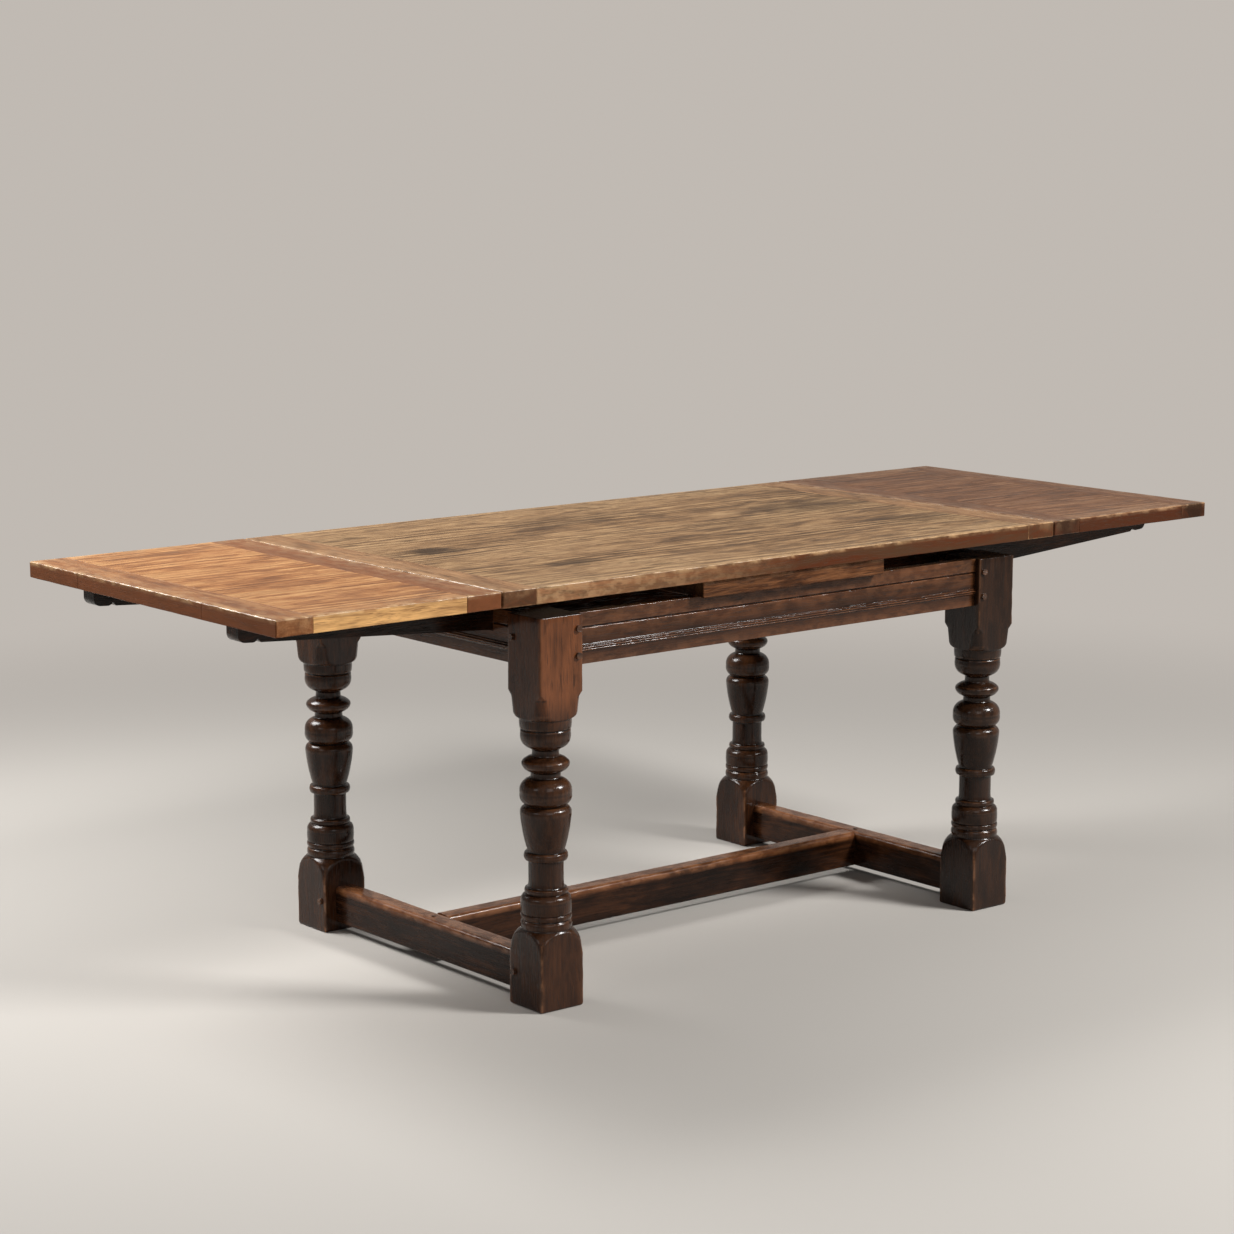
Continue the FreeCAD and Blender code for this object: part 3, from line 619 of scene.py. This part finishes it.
def clamped_top(body, boards, clamps, look, tints, seed, splits=(), wear_and_painted_light_fade=None):
    """The boards of a top and the clamps across their ends, named from left to right."""
    board_tints, left_tints, right_tints = tints
    left, right = clamps
    left_low, left_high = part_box(clamps[0])
    right_low, right_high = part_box(clamps[1])
    spans = []
    for node in boards:
        low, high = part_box(node)
        spans.append((node, low, high))
    spans.sort(key=lambda span: span[1][1])
    for index, (node, low, high) in enumerate(spans):
        low = (left_high[0], low[1], low[2])
        high = (right_low[0], high[1], high[2])
        exposed = (index == 0, index == len(spans) - 1, False, False)
        place = (body, [node])
        shift = seed + index
        worn_board("worn_" + node, low, high, 0, exposed, look, place, board_tints, shift, wear_and_painted_light_fade=wear_and_painted_light_fade)
    exposed = (True, False, True, True)
    place = (body, [left])
    worn_board("worn_" + left, left_low, left_high, 1, exposed, look, place, left_tints, seed + 5, splits)
    exposed = (False, True, True, True)
    place = (body, [right])
    worn_board("worn_" + right, right_low, right_high, 1, exposed, look, place, right_tints, seed + 6)


def numbered(stem, count):
    """The names of nodes that are numbered from 1."""
    return [stem + str(number) for number in range(1, count + 1)]


class BuildMainTop(bpy.types.Operator):
    """The four boards and two clamps of the loose main top"""

    bl_idname = "draw_table.main_top"
    bl_label = "Main top"

    def execute(self, context):
        stains = [
            (-0.51, 0.04, 0.09, 0.055, 0.9),
            (-0.38, -0.22, 0.075, 0.05, 0.7),
            # This stain and the last one, at the right end, are real stains and also painted shade that
            # darkens the right third of the top.
            (0.45, 0.08, 0.22, 0.13, 0.6),
            (0.2, -0.05, 0.2, 0.1, 0.3),
            (-0.05, 0.22, 0.24, 0.1, 0.35),
            (0.5, -0.2, 0.14, 0.09, 0.5),
        ]
        finish = oak("top oak", context.scene.draw_table.top, stains=stains, spread=0.115, coarse=1.7)
        look = (finish, "top_oak")
        boards = numbered("main_top_board_", 4)
        clamps = ("main_top_left_clamp", "main_top_right_clamp")
        board_tints = ((0.0, 0.0), (1.0, 1.0), (1.0, 1.0))
        left_tints = ((0.5, 0.0), (0.5, 0.5), (0.4, 0.9))
        right_tints = ((0.5, 0.0), (0.5, 0.5), (0.7, 1.0))
        tints = (board_tints, left_tints, right_tints)
        # The front and back edges of the main top are painted lighter towards its left end: painted light
        # falling from the left.
        clamped_top("main_top", boards, clamps, look, tints, 1.0, wear_and_painted_light_fade=(-0.55, 0.0))
        return {"FINISHED"}


class BuildLeaves(bpy.types.Operator):
    """The boards and clamps of the two drawn leaves"""

    bl_idname = "draw_table.leaves"
    bl_label = "Leaves"

    def execute(self, context):
        table = context.scene.draw_table
        # The open sides of the boards take the whole edge colour, which on the left leaf is a painted
        # highlight.
        board_tints = ((0.0, 0.0), (0.0, 1.0), (0.0, 1.0))
        look = (oak("left leaf oak", table.left, coarse=1.6, spread=0.12), "left_leaf_oak")
        boards = numbered("left_leaf_board_", 3)
        clamps = ("left_leaf_outer_clamp", "left_leaf_inner_clamp")
        outer_tints = ((0.55, 0.0), (1.0, 0.0), (0.65, 0.0))
        inner_tints = ((0.9, 0.0), (0.9, 0.0), (1.0, 0.0))
        tints = (board_tints, outer_tints, inner_tints)
        clamped_top("left_leaf", boards, clamps, look, tints, 20.0, (0.23, -0.18))
        stains = [(1.092, -0.403, 0.05, 0.014, 0.95), (0.714, -0.403, 0.045, 0.012, 0.8)]
        finish = oak("right leaf oak", table.right, stains=stains, coarse=1.6, spread=0.12)
        look = (finish, "right_leaf_oak")
        boards = numbered("right_leaf_board_", 3)
        clamps = ("right_leaf_inner_clamp", "right_leaf_outer_clamp")
        clamp_tints = ((0.75, 0.0), (0.75, 0.8), (0.75, 1.0))
        clamped_top("right_leaf", boards, clamps, look, (board_tints, clamp_tints, clamp_tints), 40.0)
        return {"FINISHED"}


def turning_outline():
    """Radius and height of a leg's turning from foot to head, in metres.

    Each mark is a radius, a height and a bulge in millimetres, and the number of steps that lead up to it. A
    radius that passes the corners of the bar leaves it square.
    """
    marks = [
        (70.5, 94, 0, 1),
        (65.0, 94, 0, 1),
        (61.0, 117.5, 0, 6),
        (43.8, 141, 3, 8),
        (43.8, 155, 2, 6),
        (40.8, 157, 0, 1),
        (44.6, 159, 0, 2),
        (44.8, 167, 0.8, 4),
        (42.6, 168, 0, 2),
        (44.4, 169.5, 0, 2),
        (44.8, 189, 0.6, 6),
        (36.6, 203.6, 3, 8),
        (37.2, 204.4, 0, 2),
        (37.4, 213, 1, 5),
        (32.6, 213.8, 0, 2),
        (31.2, 228, -0.4, 4),
        (31.2, 263.6, 0, 9),
        (37.3, 264.2, 0, 2),
        (37.3, 277.6, 2, 7),
        (32.1, 278.2, 0, 2),
        (45.6, 347, 2, 16),
        (39.6, 360, 2, 6),
        (33.0, 361, 0, 2),
        (46.2, 383, 5, 10),
        (29.0, 410, 6, 10),
        (27.0, 410.6, 0, 1),
        (27.0, 421, -0.6, 4),
        (41.4, 431, 2, 6),
        (41.4, 440, 1.2, 5),
        (25.4, 449, 1.5, 6),
        (24.4, 449.5, 0, 1),
        (24.4, 461.6, -0.6, 4),
        (44.2, 492, 8, 14),
        (44.2, 496, 0, 2),
        (42.6, 497, 0, 1),
        (42.6, 498.4, 0, 1),
        (45.4, 500, 0, 2),
        (46.2, 517, 0.4, 6),
        (56.0, 526.6, 2, 5),
        (59.0, 555.4, 0, 9),
        (65.0, 565, 0, 4),
        (70.5, 565.4, 0, 1),
    ]
    before = marks[0][:2]
    outline = [before]
    for radius, height, bulge, number in marks[1:]:
        run = (radius - before[0], height - before[1])
        size = math.hypot(*run)
        out = (run[1] / size, -run[0] / size)
        for step in range(1, number + 1):
            part = step / number
            swell = 4 * bulge * part * (1 - part)
            outline.append(
                (before[0] + run[0] * part + out[0] * swell, before[1] + run[1] * part + out[1] * swell)
            )
        before = (radius, height)
    return [(radius / 1000, height / 1000) for radius, height in outline]


# The eased foot of a leg: heights and how far the section is drawn in there, in metres.
FOOT_EASE = ((0.0, 0.0035), (0.0008, 0.0016), (0.0025, 0.0005), (0.005, 0.0))

# Where the shades of a leg's head and foot begin and the run over which they grow, in metres.
HEAD_FROM = 0.5
FOOT_TO = 0.15
SHADE_RUN = 0.06

# Strengths of a leg's wear, of the dark in its waxed grooves, which is also painted shade, of the painted
# light on the sides of its block and of the tint on its foot as shares, and the depth of the chips in metres.
ARRIS_WEAR = 0.3
FOOT_WEAR = 0.5
CREST_WEAR = 0.22
GROOVE_WAX_AND_SHADE = 0.8
SIDE_PAINTED_LIGHT = 0.25
FOOT_TINT = 0.08
CHIP_DEPTH = 0.0012

# The bend in metres that makes a whole crest or groove, a quarter turn in radians, how far in from both
# sides a rounding's middle lies as a share of its radius, and the ramp of the painted light round a leg's
# front.
BEND_UNIT = 0.0006
QUARTER_TURN = 1.5708
ROUND_CUT = 0.2929
FRONT_SLOPE = 8
FRONT_START = 5.15


class BuildLegs(bpy.types.Operator):
    """The four turned legs"""

    bl_idname = "draw_table.legs"
    bl_label = "Legs"

    def execute(self, context):
        table = context.scene.draw_table
        look = (oak("frame oak", table.frame, gloss=0.28, relief=0.2, spread=0.15), "frame_oak")
        eighth = (0, 5, 10, 15, 20, 25, 30, 35, 38.5, 41, 42.7, 44)
        quarter = eighth + (45,) + tuple(90 - angle for angle in reversed(eighth[1:]))
        angles = [math.radians(angle + 90 * turn) for turn in range(4) for angle in quarter]
        painted_light_and_dark_shares = ((0.8, 0.0), (0.0, 0.5), (0.1, 0.0), (0.1, 0.0))
        outline = turning_outline()
        for number, corner in enumerate(("front_left", "front_right", "back_left", "back_right")):
            node = "leg_" + corner
            low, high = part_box(node)
            seed = number * 11.0 + 2.0
            arris = table.sizes.leg_arris
            self.leg(node, low, high, outline, angles, look, seed, arris, painted_light_and_dark_shares[number])
        return {"FINISHED"}

    def leg(self, node, low, high, outline, angles, look, seed, arris, finish):
        """One leg: the turned outline cut back to the square bar that it is turned from.

        The finish is the share of painted light on its upper block's front, and the least share of the frame's
        darkest colour over the whole leg.
        """
        centre_x = (low[0] + high[0]) / 2
        centre_y = (low[1] + high[1]) / 2
        half = (high[0] - low[0]) / 2
        painted_block_light, least_dark_share = finish
        top = high[2]
        whole = outline[0][0]
        rows = [(whole, height, inset) for height, inset in FOOT_EASE]
        foot = FOOT_EASE[-1][0]
        rows = rows + [(whole, foot + (outline[0][1] - foot) * step / 10, 0.0) for step in range(1, 10)]
        rows = rows + [(radius, height, 0.0) for radius, height in outline]
        start = outline[-1][1]
        rows = rows + [(whole, start + (top - 0.001 - start) * step / 13, 0.0) for step in range(1, 14)]
        rows.append((whole, top, 0.0008))
        power = math.log(2) / math.log(1 / (1 - ROUND_CUT * arris / half))
        rings = []
        for index, (radius, height, inset) in enumerate(rows):
            ring = []
            before = rows[max(0, index - 1)][0]
            after = rows[min(len(rows) - 1, index + 1)][0]
            bend = limited((radius - (before + after) / 2) / BEND_UNIT, -1.0)
            rise = limited((height - HEAD_FROM) / SHADE_RUN)
            fall = limited((FOOT_TO - height) / SHADE_RUN)
            for angle in angles:
                c = abs(math.cos(angle))
                s = abs(math.sin(angle))
                knock = 1 + 0.5 * wobble(height * 26, round(angle / QUARTER_TURN - 0.5) * 5.0, seed)
                square = (half - inset) / (c ** (power / knock) + s ** (power / knock)) ** (knock / power)
                reach = min(radius, square)
                turned = 1.0 if radius < square else 0.0
                off = abs(math.degrees(angle) % 90 - 45)
                arris_wear = math.exp(-off / 1.6) if reach > half * 1.25 else 0.0
                crest = max(0.0, bend) * turned
                chip = max(0.0, wobble(height * 60, angle * 9, seed + 4)) * CHIP_DEPTH
                reach = reach - chip * max(arris_wear, 0.25 * crest)
                point = (centre_x + reach * math.cos(angle), centre_y + reach * math.sin(angle), height)
                wear = max(arris_wear * (ARRIS_WEAR + FOOT_WEAR * fall), crest * CREST_WEAR)
                # Grooves are darkened by old wax and by painted shade; the top face of the leg is painted
                # black as painted shade under the tabletop.
                groove = GROOVE_WAX_AND_SHADE * max(0.0, -bend) * turned
                wax_and_painted_shade = 1.0 if height == top else max(least_dark_share, groove)
                # Painted light: the front of the upper block is painted brighter than its sides.
                turn = limited(-FRONT_SLOPE * math.sin(angle) - FRONT_START)
                front = SIDE_PAINTED_LIGHT + (1 - SIDE_PAINTED_LIGHT) * turn
                ring.append((point, (wear, painted_block_light * rise * front + FOOT_TINT * fall, wax_and_painted_shade)))
            rings.append(ring)
        heart = (centre_x + 0.03, centre_y + 0.05, 0.0)
        finished_piece("turned_" + node, rings, (2, heart, seed), look, ("frame", [node]))


def softened(corners, radius):
    """A closed outline with each corner eased, and its bend there: 1 where it stands out, -1 in a groove."""
    points = []
    number = len(corners)
    for index in range(number):
        here = Vector(corners[index])
        before = Vector(corners[index - 1])
        after = Vector(corners[(index + 1) % number])
        back = before - here
        on = after - here
        ease = min(radius, back.length * 0.4, on.length * 0.4)
        start = here + back.normalized() * ease
        end = here + on.normalized() * ease
        turn = back.x * on.y - back.y * on.x
        middle = (start + end + here * 2) / 4
        bend = 1.0 if turn < 0 else -1.0
        points.append((start, bend * 0.5))
        points.append((middle, bend))
        points.append((end, bend * 0.5))
    return points


def rail_outline(thickness, depth):
    """Section of a moulded rail: outward distance from its inner face, and height."""
    face = thickness - 0.004
    reeds = []
    for low, high, out in ((0.25, 0.29, 0.0012), (0.29, 0.345, 0.0036), (0.345, 0.375, 0.0016)):
        for step in range(1, 6):
            part = step / 6
            swell = 4 * out * part * (1 - part)
            reeds.append((face - 0.0006 + swell, depth * (low + (high - low) * part)))
    corners = [(0, 0), (face - 0.002, 0), (face - 0.002, depth * 0.24)]
    return corners + reeds + [
        (face - 0.001, depth * 0.385),
        (face - 0.001, depth * 0.69),
        (face - 0.004, depth * 0.7),
        (face - 0.004, depth * 0.72),
        (face, depth * 0.73),
        (face, depth),
        (0, depth),
    ]


# Sizes of the rails in metres, the number of steps along them, and the shares of their wear, tint, and the
# dark of old wax and painted shade.
RAIL_THICKNESS = 0.028
RAIL_EASE = 0.0012
RAIL_STEPS = 110
NOTCH_FLOOR = 0.6584
NOTCH_ROOM = 0.0005
UNCUT = 1.0
RAIL_WEAR = 0.3
RAIL_TINT = 0.22
RAIL_GROOVE_WAX_AND_SHADE = 0.9


class BuildRails(bpy.types.Operator):
    """The four moulded rails"""

    bl_idname = "draw_table.rails"
    bl_label = "Rails"

    def execute(self, context):
        table = context.scene.draw_table
        look = (oak("rail oak", table.frame, gloss=0.3, relief=0.3, spread=0.14), "frame_oak")
        leg_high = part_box("leg_front_left")[1]
        inside_x = -leg_high[0]
        inside_y = -leg_high[1]
        self.rail("front_rail", 0, -1, inside_x, [], look, 3.0)
        self.rail("back_rail", 0, 1, inside_x, [], look, 14.0)
        for node, side, leaf, seed in (
            ("left_end_rail", -1, "left_leaf", 25.0),
            ("right_end_rail", 1, "right_leaf", 36.0),
        ):
            notches = []
            for bearer in ("_front_bearer", "_back_bearer"):
                low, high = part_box(leaf + bearer)
                notches.append((low[1] - NOTCH_ROOM, high[1] + NOTCH_ROOM))
            self.rail(node, 1, side, inside_y, notches, look, seed)
        return {"FINISHED"}

    def rail(self, node, axis, side, half, notches, look, seed):
        """One rail between two legs, moulded on its outer face and notched for the bearers."""
        low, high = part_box(node)
        across = 1 - axis
        inner = low[across] if side > 0 else high[across]
        floor = low[2]
        outline = softened(rail_outline(RAIL_THICKNESS, high[2] - low[2]), RAIL_EASE)
        places = [(-half + half * 2 * step / RAIL_STEPS, UNCUT) for step in range(RAIL_STEPS + 1)]
        notch_floor = NOTCH_FLOOR - floor
        for start, stop in notches:
            places = [spot for spot in places if not start - 0.004 < spot[0] < stop + 0.004]
            places = places + [(start - 0.0001, UNCUT), (start, notch_floor)]
            places = places + [(stop, notch_floor), (stop + 0.0001, UNCUT)]
        places.sort()
        rings = []
        for at, limit in places:
            ring = []
            for corner, bend in outline:
                out = corner.x
                up = min(corner.y, limit)
                nick = max(0.0, wobble(at * 48, up * 90, seed)) * CHIP_DEPTH * max(0.0, bend)
                outward = max(0.0, out - nick if out > 0.01 else out)
                point = point_at(axis, at, inner + side * outward, floor + up)
                # The grooves of the outer face are darkened by old wax and painted shade; the inner face is
                # painted black as painted shade, fading across the top and bottom faces.
                open_face = 1.0 if out > 0.015 else 0.0
                wax_and_painted_shade = RAIL_GROOVE_WAX_AND_SHADE * max(0.0, -bend) if open_face else 1.0
                ring.append((point, (RAIL_WEAR * max(0.0, bend) * open_face, RAIL_TINT, wax_and_painted_shade)))
            rings.append(ring)
        heart = [0.0, 0.0, floor - 0.03]
        heart[across] = inner - side * 0.06
        finished_piece("moulded_" + node, rings, (axis, heart, seed * 3.1), look, ("frame", [node]))


# Roundings of the stretchers and the dips in their tops in metres, and the wear there as shares; the wear on
# the whole top face is also a painted sheen.
STRETCHER_END = 0.0006
STRETCHER_UNDER = 0.003
STRETCHER_EASE = 0.005
STRETCHER_DIP = 0.0012
FACE_WEAR_AND_SHEEN = 0.42
CORNER_WEAR = 0.48


class BuildStretchers(bpy.types.Operator):
    """The low stretchers that tie the feet together"""

    bl_idname = "draw_table.stretchers"
    bl_label = "Stretchers"

    def execute(self, context):
        table = context.scene.draw_table
        look = (oak("stretcher oak", table.frame, gloss=0.16, relief=0.3, spread=0.14), "frame_oak")
        leg_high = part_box("leg_front_left")[1]
        for node, axis, seed in (
            ("left_stretcher", 1, 4.0),
            ("right_stretcher", 1, 15.0),
            ("centre_stretcher", 0, 26.0),
        ):
            low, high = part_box(node)
            low = list(low)
            high = list(high)
            if axis == 1:
                low[1] = leg_high[1]
                high[1] = -leg_high[1]
            else:
                left_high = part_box("left_stretcher")[1]
                low[0] = left_high[0]
                high[0] = -left_high[0]
            self.stretcher(node, low, high, axis, look, seed, table.sizes)
        return {"FINISHED"}

    def stretcher(self, node, low, high, axis, look, seed, sizes):
        """One stretcher, its upper edges worn round by feet."""
        across = 1 - axis
        rings = []
        ends = (STRETCHER_END, STRETCHER_END)
        for at, inset in stations(low[axis], high[axis], ends, sizes.spacing):
            radii = [STRETCHER_UNDER, STRETCHER_UNDER]
            for shift in (0, 9):
                worn = sizes.step_wear * (0.5 + 0.5 * wobble(at * 7, seed + shift, 0.0))
                radii.append(STRETCHER_EASE + worn)
            section = board_section(low, high, across, inset, radii, (5, 7))
            ring = []
            for side, up, corner in section:
                top = (up - low[2]) / (high[2] - low[2])
                dip = 0.0
                if top > 0.9:
                    dip = STRETCHER_DIP * (0.5 + 0.5 * wobble(at * 9, side * 40, seed))
                point = point_at(axis, at, side, up - dip)
                # The tops are lightened by the wear of feet and by a painted sheen.
                trodden_and_sheen = 0.0
                if top > 0.95:
                    trodden_and_sheen = FACE_WEAR_AND_SHEEN
                if corner and top > 0.8:
                    trodden_and_sheen = CORNER_WEAR
                ring.append((point, (trodden_and_sheen, trodden_and_sheen, 0.0)))
            rings.append(ring)
        heart = [(low[k] + high[k]) / 2 for k in range(3)]
        heart[2] = low[2] - 0.02
        finished_piece("worn_" + node, rings, (axis, heart, seed * 2.7), look, ("frame", [node]))


class BuildCentreBoard(bpy.types.Operator):
    """The centre board that holds the bearers down"""

    bl_idname = "draw_table.centre_board"
    bl_label = "Centre board"

    def execute(self, context):
        look = (oak("board oak", context.scene.draw_table.board), "board_oak")
        low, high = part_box("centre_board")
        exposed = (True, True, True, True)
        place = ("frame", ["centre_board"])
        # The ends of the board take the whole dark edge colour: painted shade.
        tints = ((0.0, 0.0), (0.0, 0.0), (0.0, 1.0))
        worn_board("worn_centre_board", low, high, 0, exposed, look, place, tints, 60.0)
        return {"FINISHED"}


# Eased edges of the bearers, of the pegs whose heads show and of the hidden pegs, in metres.
BEARER_EASE = 0.0025
SHOWN_PEG_EASE = 0.0038
HIDDEN_PEG_EASE = 0.0012


class DressBearers(bpy.types.Operator):
    """The finish and eased edges of the bearers"""

    bl_idname = "draw_table.bearers"
    bl_label = "Bearers"

    def execute(self, context):
        material = oak("bearer oak", context.scene.draw_table.frame, True, gloss=0.2)
        for leaf in ("left_leaf", "right_leaf"):
            for bearer in ("_front_bearer", "_back_bearer"):
                dress(leaf + bearer, material, BEARER_EASE)
        return {"FINISHED"}


class DressPegs(bpy.types.Operator):
    """The finish and eased edges of the pegs and dowels"""

    bl_idname = "draw_table.pegs"
    bl_label = "Pegs"

    def execute(self, context):
        material = oak("peg oak", context.scene.draw_table.peg, True, gloss=0.5)
        for node in ("rail_pegs", "stretcher_pegs"):
            dress(node, material, SHOWN_PEG_EASE)
        nodes = ["centre_board_pegs", "top_locating_pegs", "main_top_clamp_pegs"]
        for leaf in ("left_leaf", "right_leaf"):
            nodes = nodes + [leaf + "_clamp_pegs", leaf + "_bearer_dowels", leaf + "_stop_pegs"]
        for node in nodes:
            dress(node, material, HIDDEN_PEG_EASE)
        return {"FINISHED"}


def dress(node, material, ease):
    """Gives a carried-over node its finish and eases its edges."""
    piece = frame["nodes"][node]
    piece.data.materials.clear()
    piece.data.materials.append(material)
    weld = piece.modifiers.new("Weld", "WELD")
    weld.merge_threshold = 0.00002
    bevel = piece.modifiers.new("Eased edges", "BEVEL")
    bevel.width = ease
    bevel.segments = 3
    bevel.limit_method = "ANGLE"
    bevel.angle_limit = math.radians(40)


# Colours and light of the stage, and the distances in metres over which its floor fades into the room.
ROOM_COLOUR = (0.53, 0.49, 0.45, 1.0)
FLOOR_COLOUR = (0.5, 0.47, 0.43, 1.0)
FLOOR_RADIUS = 60.0
FADE_FROM = 1.2
FADE_TO = 3.8
SOFT_COLOUR = (0.9, 0.93, 1.0, 1.0)
SOFT_STRENGTH = 0.07
GLOSS_SHARE = 0.6

# Each lamp's name, place, target, width in metres and power in watts.
LAMPS = (
    ("Key light", (2.2, -3.2, 3.2), (-0.1, -0.2, 0.5), 1.0, 250.0),
    ("Front fill", (-1.4, -3.3, 2.2), (-0.2, -0.2, 0.4), 1.6, 14.0),
    ("Left fill", (-4.4, -0.6, 2.6), (0.0, 0.0, 0.5), 1.2, 12.0),
    ("Back light", (-1.6, 1.8, 2.5), (-0.6, 0.0, 0.7), 1.3, 120.0),
)


def seen_rays(start):
    """1 for rays that see the room straight or through glass, and less for those that gloss sends there."""
    rays = ("Is Camera Ray", "Is Glossy Ray", "Is Transmission Ray")
    camera, glossy, through = [start.node("ShaderNodeLightPath", output=ray) for ray in rays]
    return camera + GLOSS_SHARE * glossy + through


class BuildStage(bpy.types.Operator):
    """The pale floor and room, the soft lights and the camera"""

    bl_idname = "draw_table.stage"
    bl_label = "Stage"

    def execute(self, context):
        scene = context.scene
        self.floor()
        self.room()
        for lamp in LAMPS:
            self.lamp(*lamp)
        lens = bpy.data.cameras.new("Camera")
        lens.sensor_width = 36.0
        lens.lens = 88.6
        camera = bpy.data.objects.new("Camera", lens)
        camera.location = (-3.7097, -4.4233, 1.5802)
        camera.rotation_euler = (math.radians(80.2653), 0.0, math.radians(-39.2207))
        scene.collection.objects.link(camera)
        scene.camera = camera
        scene.view_settings.view_transform = "Standard"
        return {"FINISHED"}

    def floor(self):
        """A wide round floor that fades into the pale room away from the table."""
        mesh = bpy.data.meshes.new("Floor")
        work = bmesh.new()
        bmesh.ops.create_circle(work, cap_ends=True, segments=96, radius=FLOOR_RADIUS)
        work.to_mesh(mesh)
        work.free()
        floor = bpy.data.objects.new("Floor", mesh)
        bpy.context.collection.objects.link(floor)
        material = bpy.data.materials.new("pale floor")
        start = fresh(material)
        place = start.node("ShaderNodeTexCoord", output="Object")
        lit = start.node("ShaderNodeBsdfPrincipled", None, {"Base Color": FLOOR_COLOUR, "Roughness": 0.75})
        pale = start.node("ShaderNodeEmission", None, {"Color": ROOM_COLOUR, "Strength": 1.0})
        far = seen_rays(start) * place.size().between(FADE_FROM, FADE_TO)
        shader = start.node("ShaderNodeMixShader", None, {0: far, 1: lit, 2: pale})
        link_surface(start, shader)
        mesh.materials.append(material)

    def room(self):
        """The pale room round the floor, which gives the table only a little light."""
        world = bpy.data.worlds.new("Soft room")
        start = fresh(world)
        soft = start.node("ShaderNodeBackground", None, {"Color": SOFT_COLOUR, "Strength": SOFT_STRENGTH})
        pale = start.node("ShaderNodeBackground", None, {"Color": ROOM_COLOUR, "Strength": 1.0})
        shader = start.node("ShaderNodeMixShader", None, {0: seen_rays(start), 1: soft, 2: pale})
        link_surface(start, shader, "ShaderNodeOutputWorld")
        bpy.context.scene.world = world

    def lamp(self, label, place, target, size, power):
        """One large soft lamp that points at the table."""
        light = bpy.data.lights.new(label, "AREA")
        light.shape = "SQUARE"
        light.size = size
        light.energy = power
        lamp = bpy.data.objects.new(label, light)
        lamp.location = place
        lamp.visible_camera = False
        aim = Vector(target) - Vector(place)
        lamp.rotation_euler = aim.to_track_quat("-Z", "Y").to_euler()
        bpy.context.scene.collection.objects.link(lamp)


class TablePanel(bpy.types.Panel):
    """Lists the steps that build the table"""

    bl_idname = "VIEW3D_PT_draw_table"
    bl_label = "Draw-leaf table"
    bl_space_type = "VIEW_3D"
    bl_region_type = "UI"
    bl_category = "Table"

    def draw(self, context):
        for operator in operators:
            self.layout.operator(operator.bl_idname)


operators = (
    BuildMainTop,
    BuildLeaves,
    BuildLegs,
    BuildRails,
    BuildStretchers,
    BuildCentreBoard,
    DressBearers,
    DressPegs,
    BuildStage,
)
groups = (TableSizes, TopOak, LeftLeafOak, RightLeafOak, FrameOak, BoardOak, PegOak, DrawTable)


def register():
    for group in groups:
        bpy.utils.register_class(group)
    for operator in operators:
        bpy.utils.register_class(operator)
    bpy.utils.register_class(TablePanel)
    bpy.types.Scene.draw_table = PointerProperty(name="Draw-leaf table", type=DrawTable)


def unregister():
    del bpy.types.Scene.draw_table
    bpy.utils.unregister_class(TablePanel)
    for operator in reversed(operators):
        bpy.utils.unregister_class(operator)
    for group in reversed(groups):
        bpy.utils.unregister_class(group)


def main():
    register()
    bpy.ops.draw_table.main_top()
    bpy.ops.draw_table.leaves()
    bpy.ops.draw_table.legs()
    bpy.ops.draw_table.rails()
    bpy.ops.draw_table.stretchers()
    bpy.ops.draw_table.centre_board()
    bpy.ops.draw_table.bearers()
    bpy.ops.draw_table.pegs()
    bpy.ops.draw_table.stage()


if __name__ == "__main__":
    main()
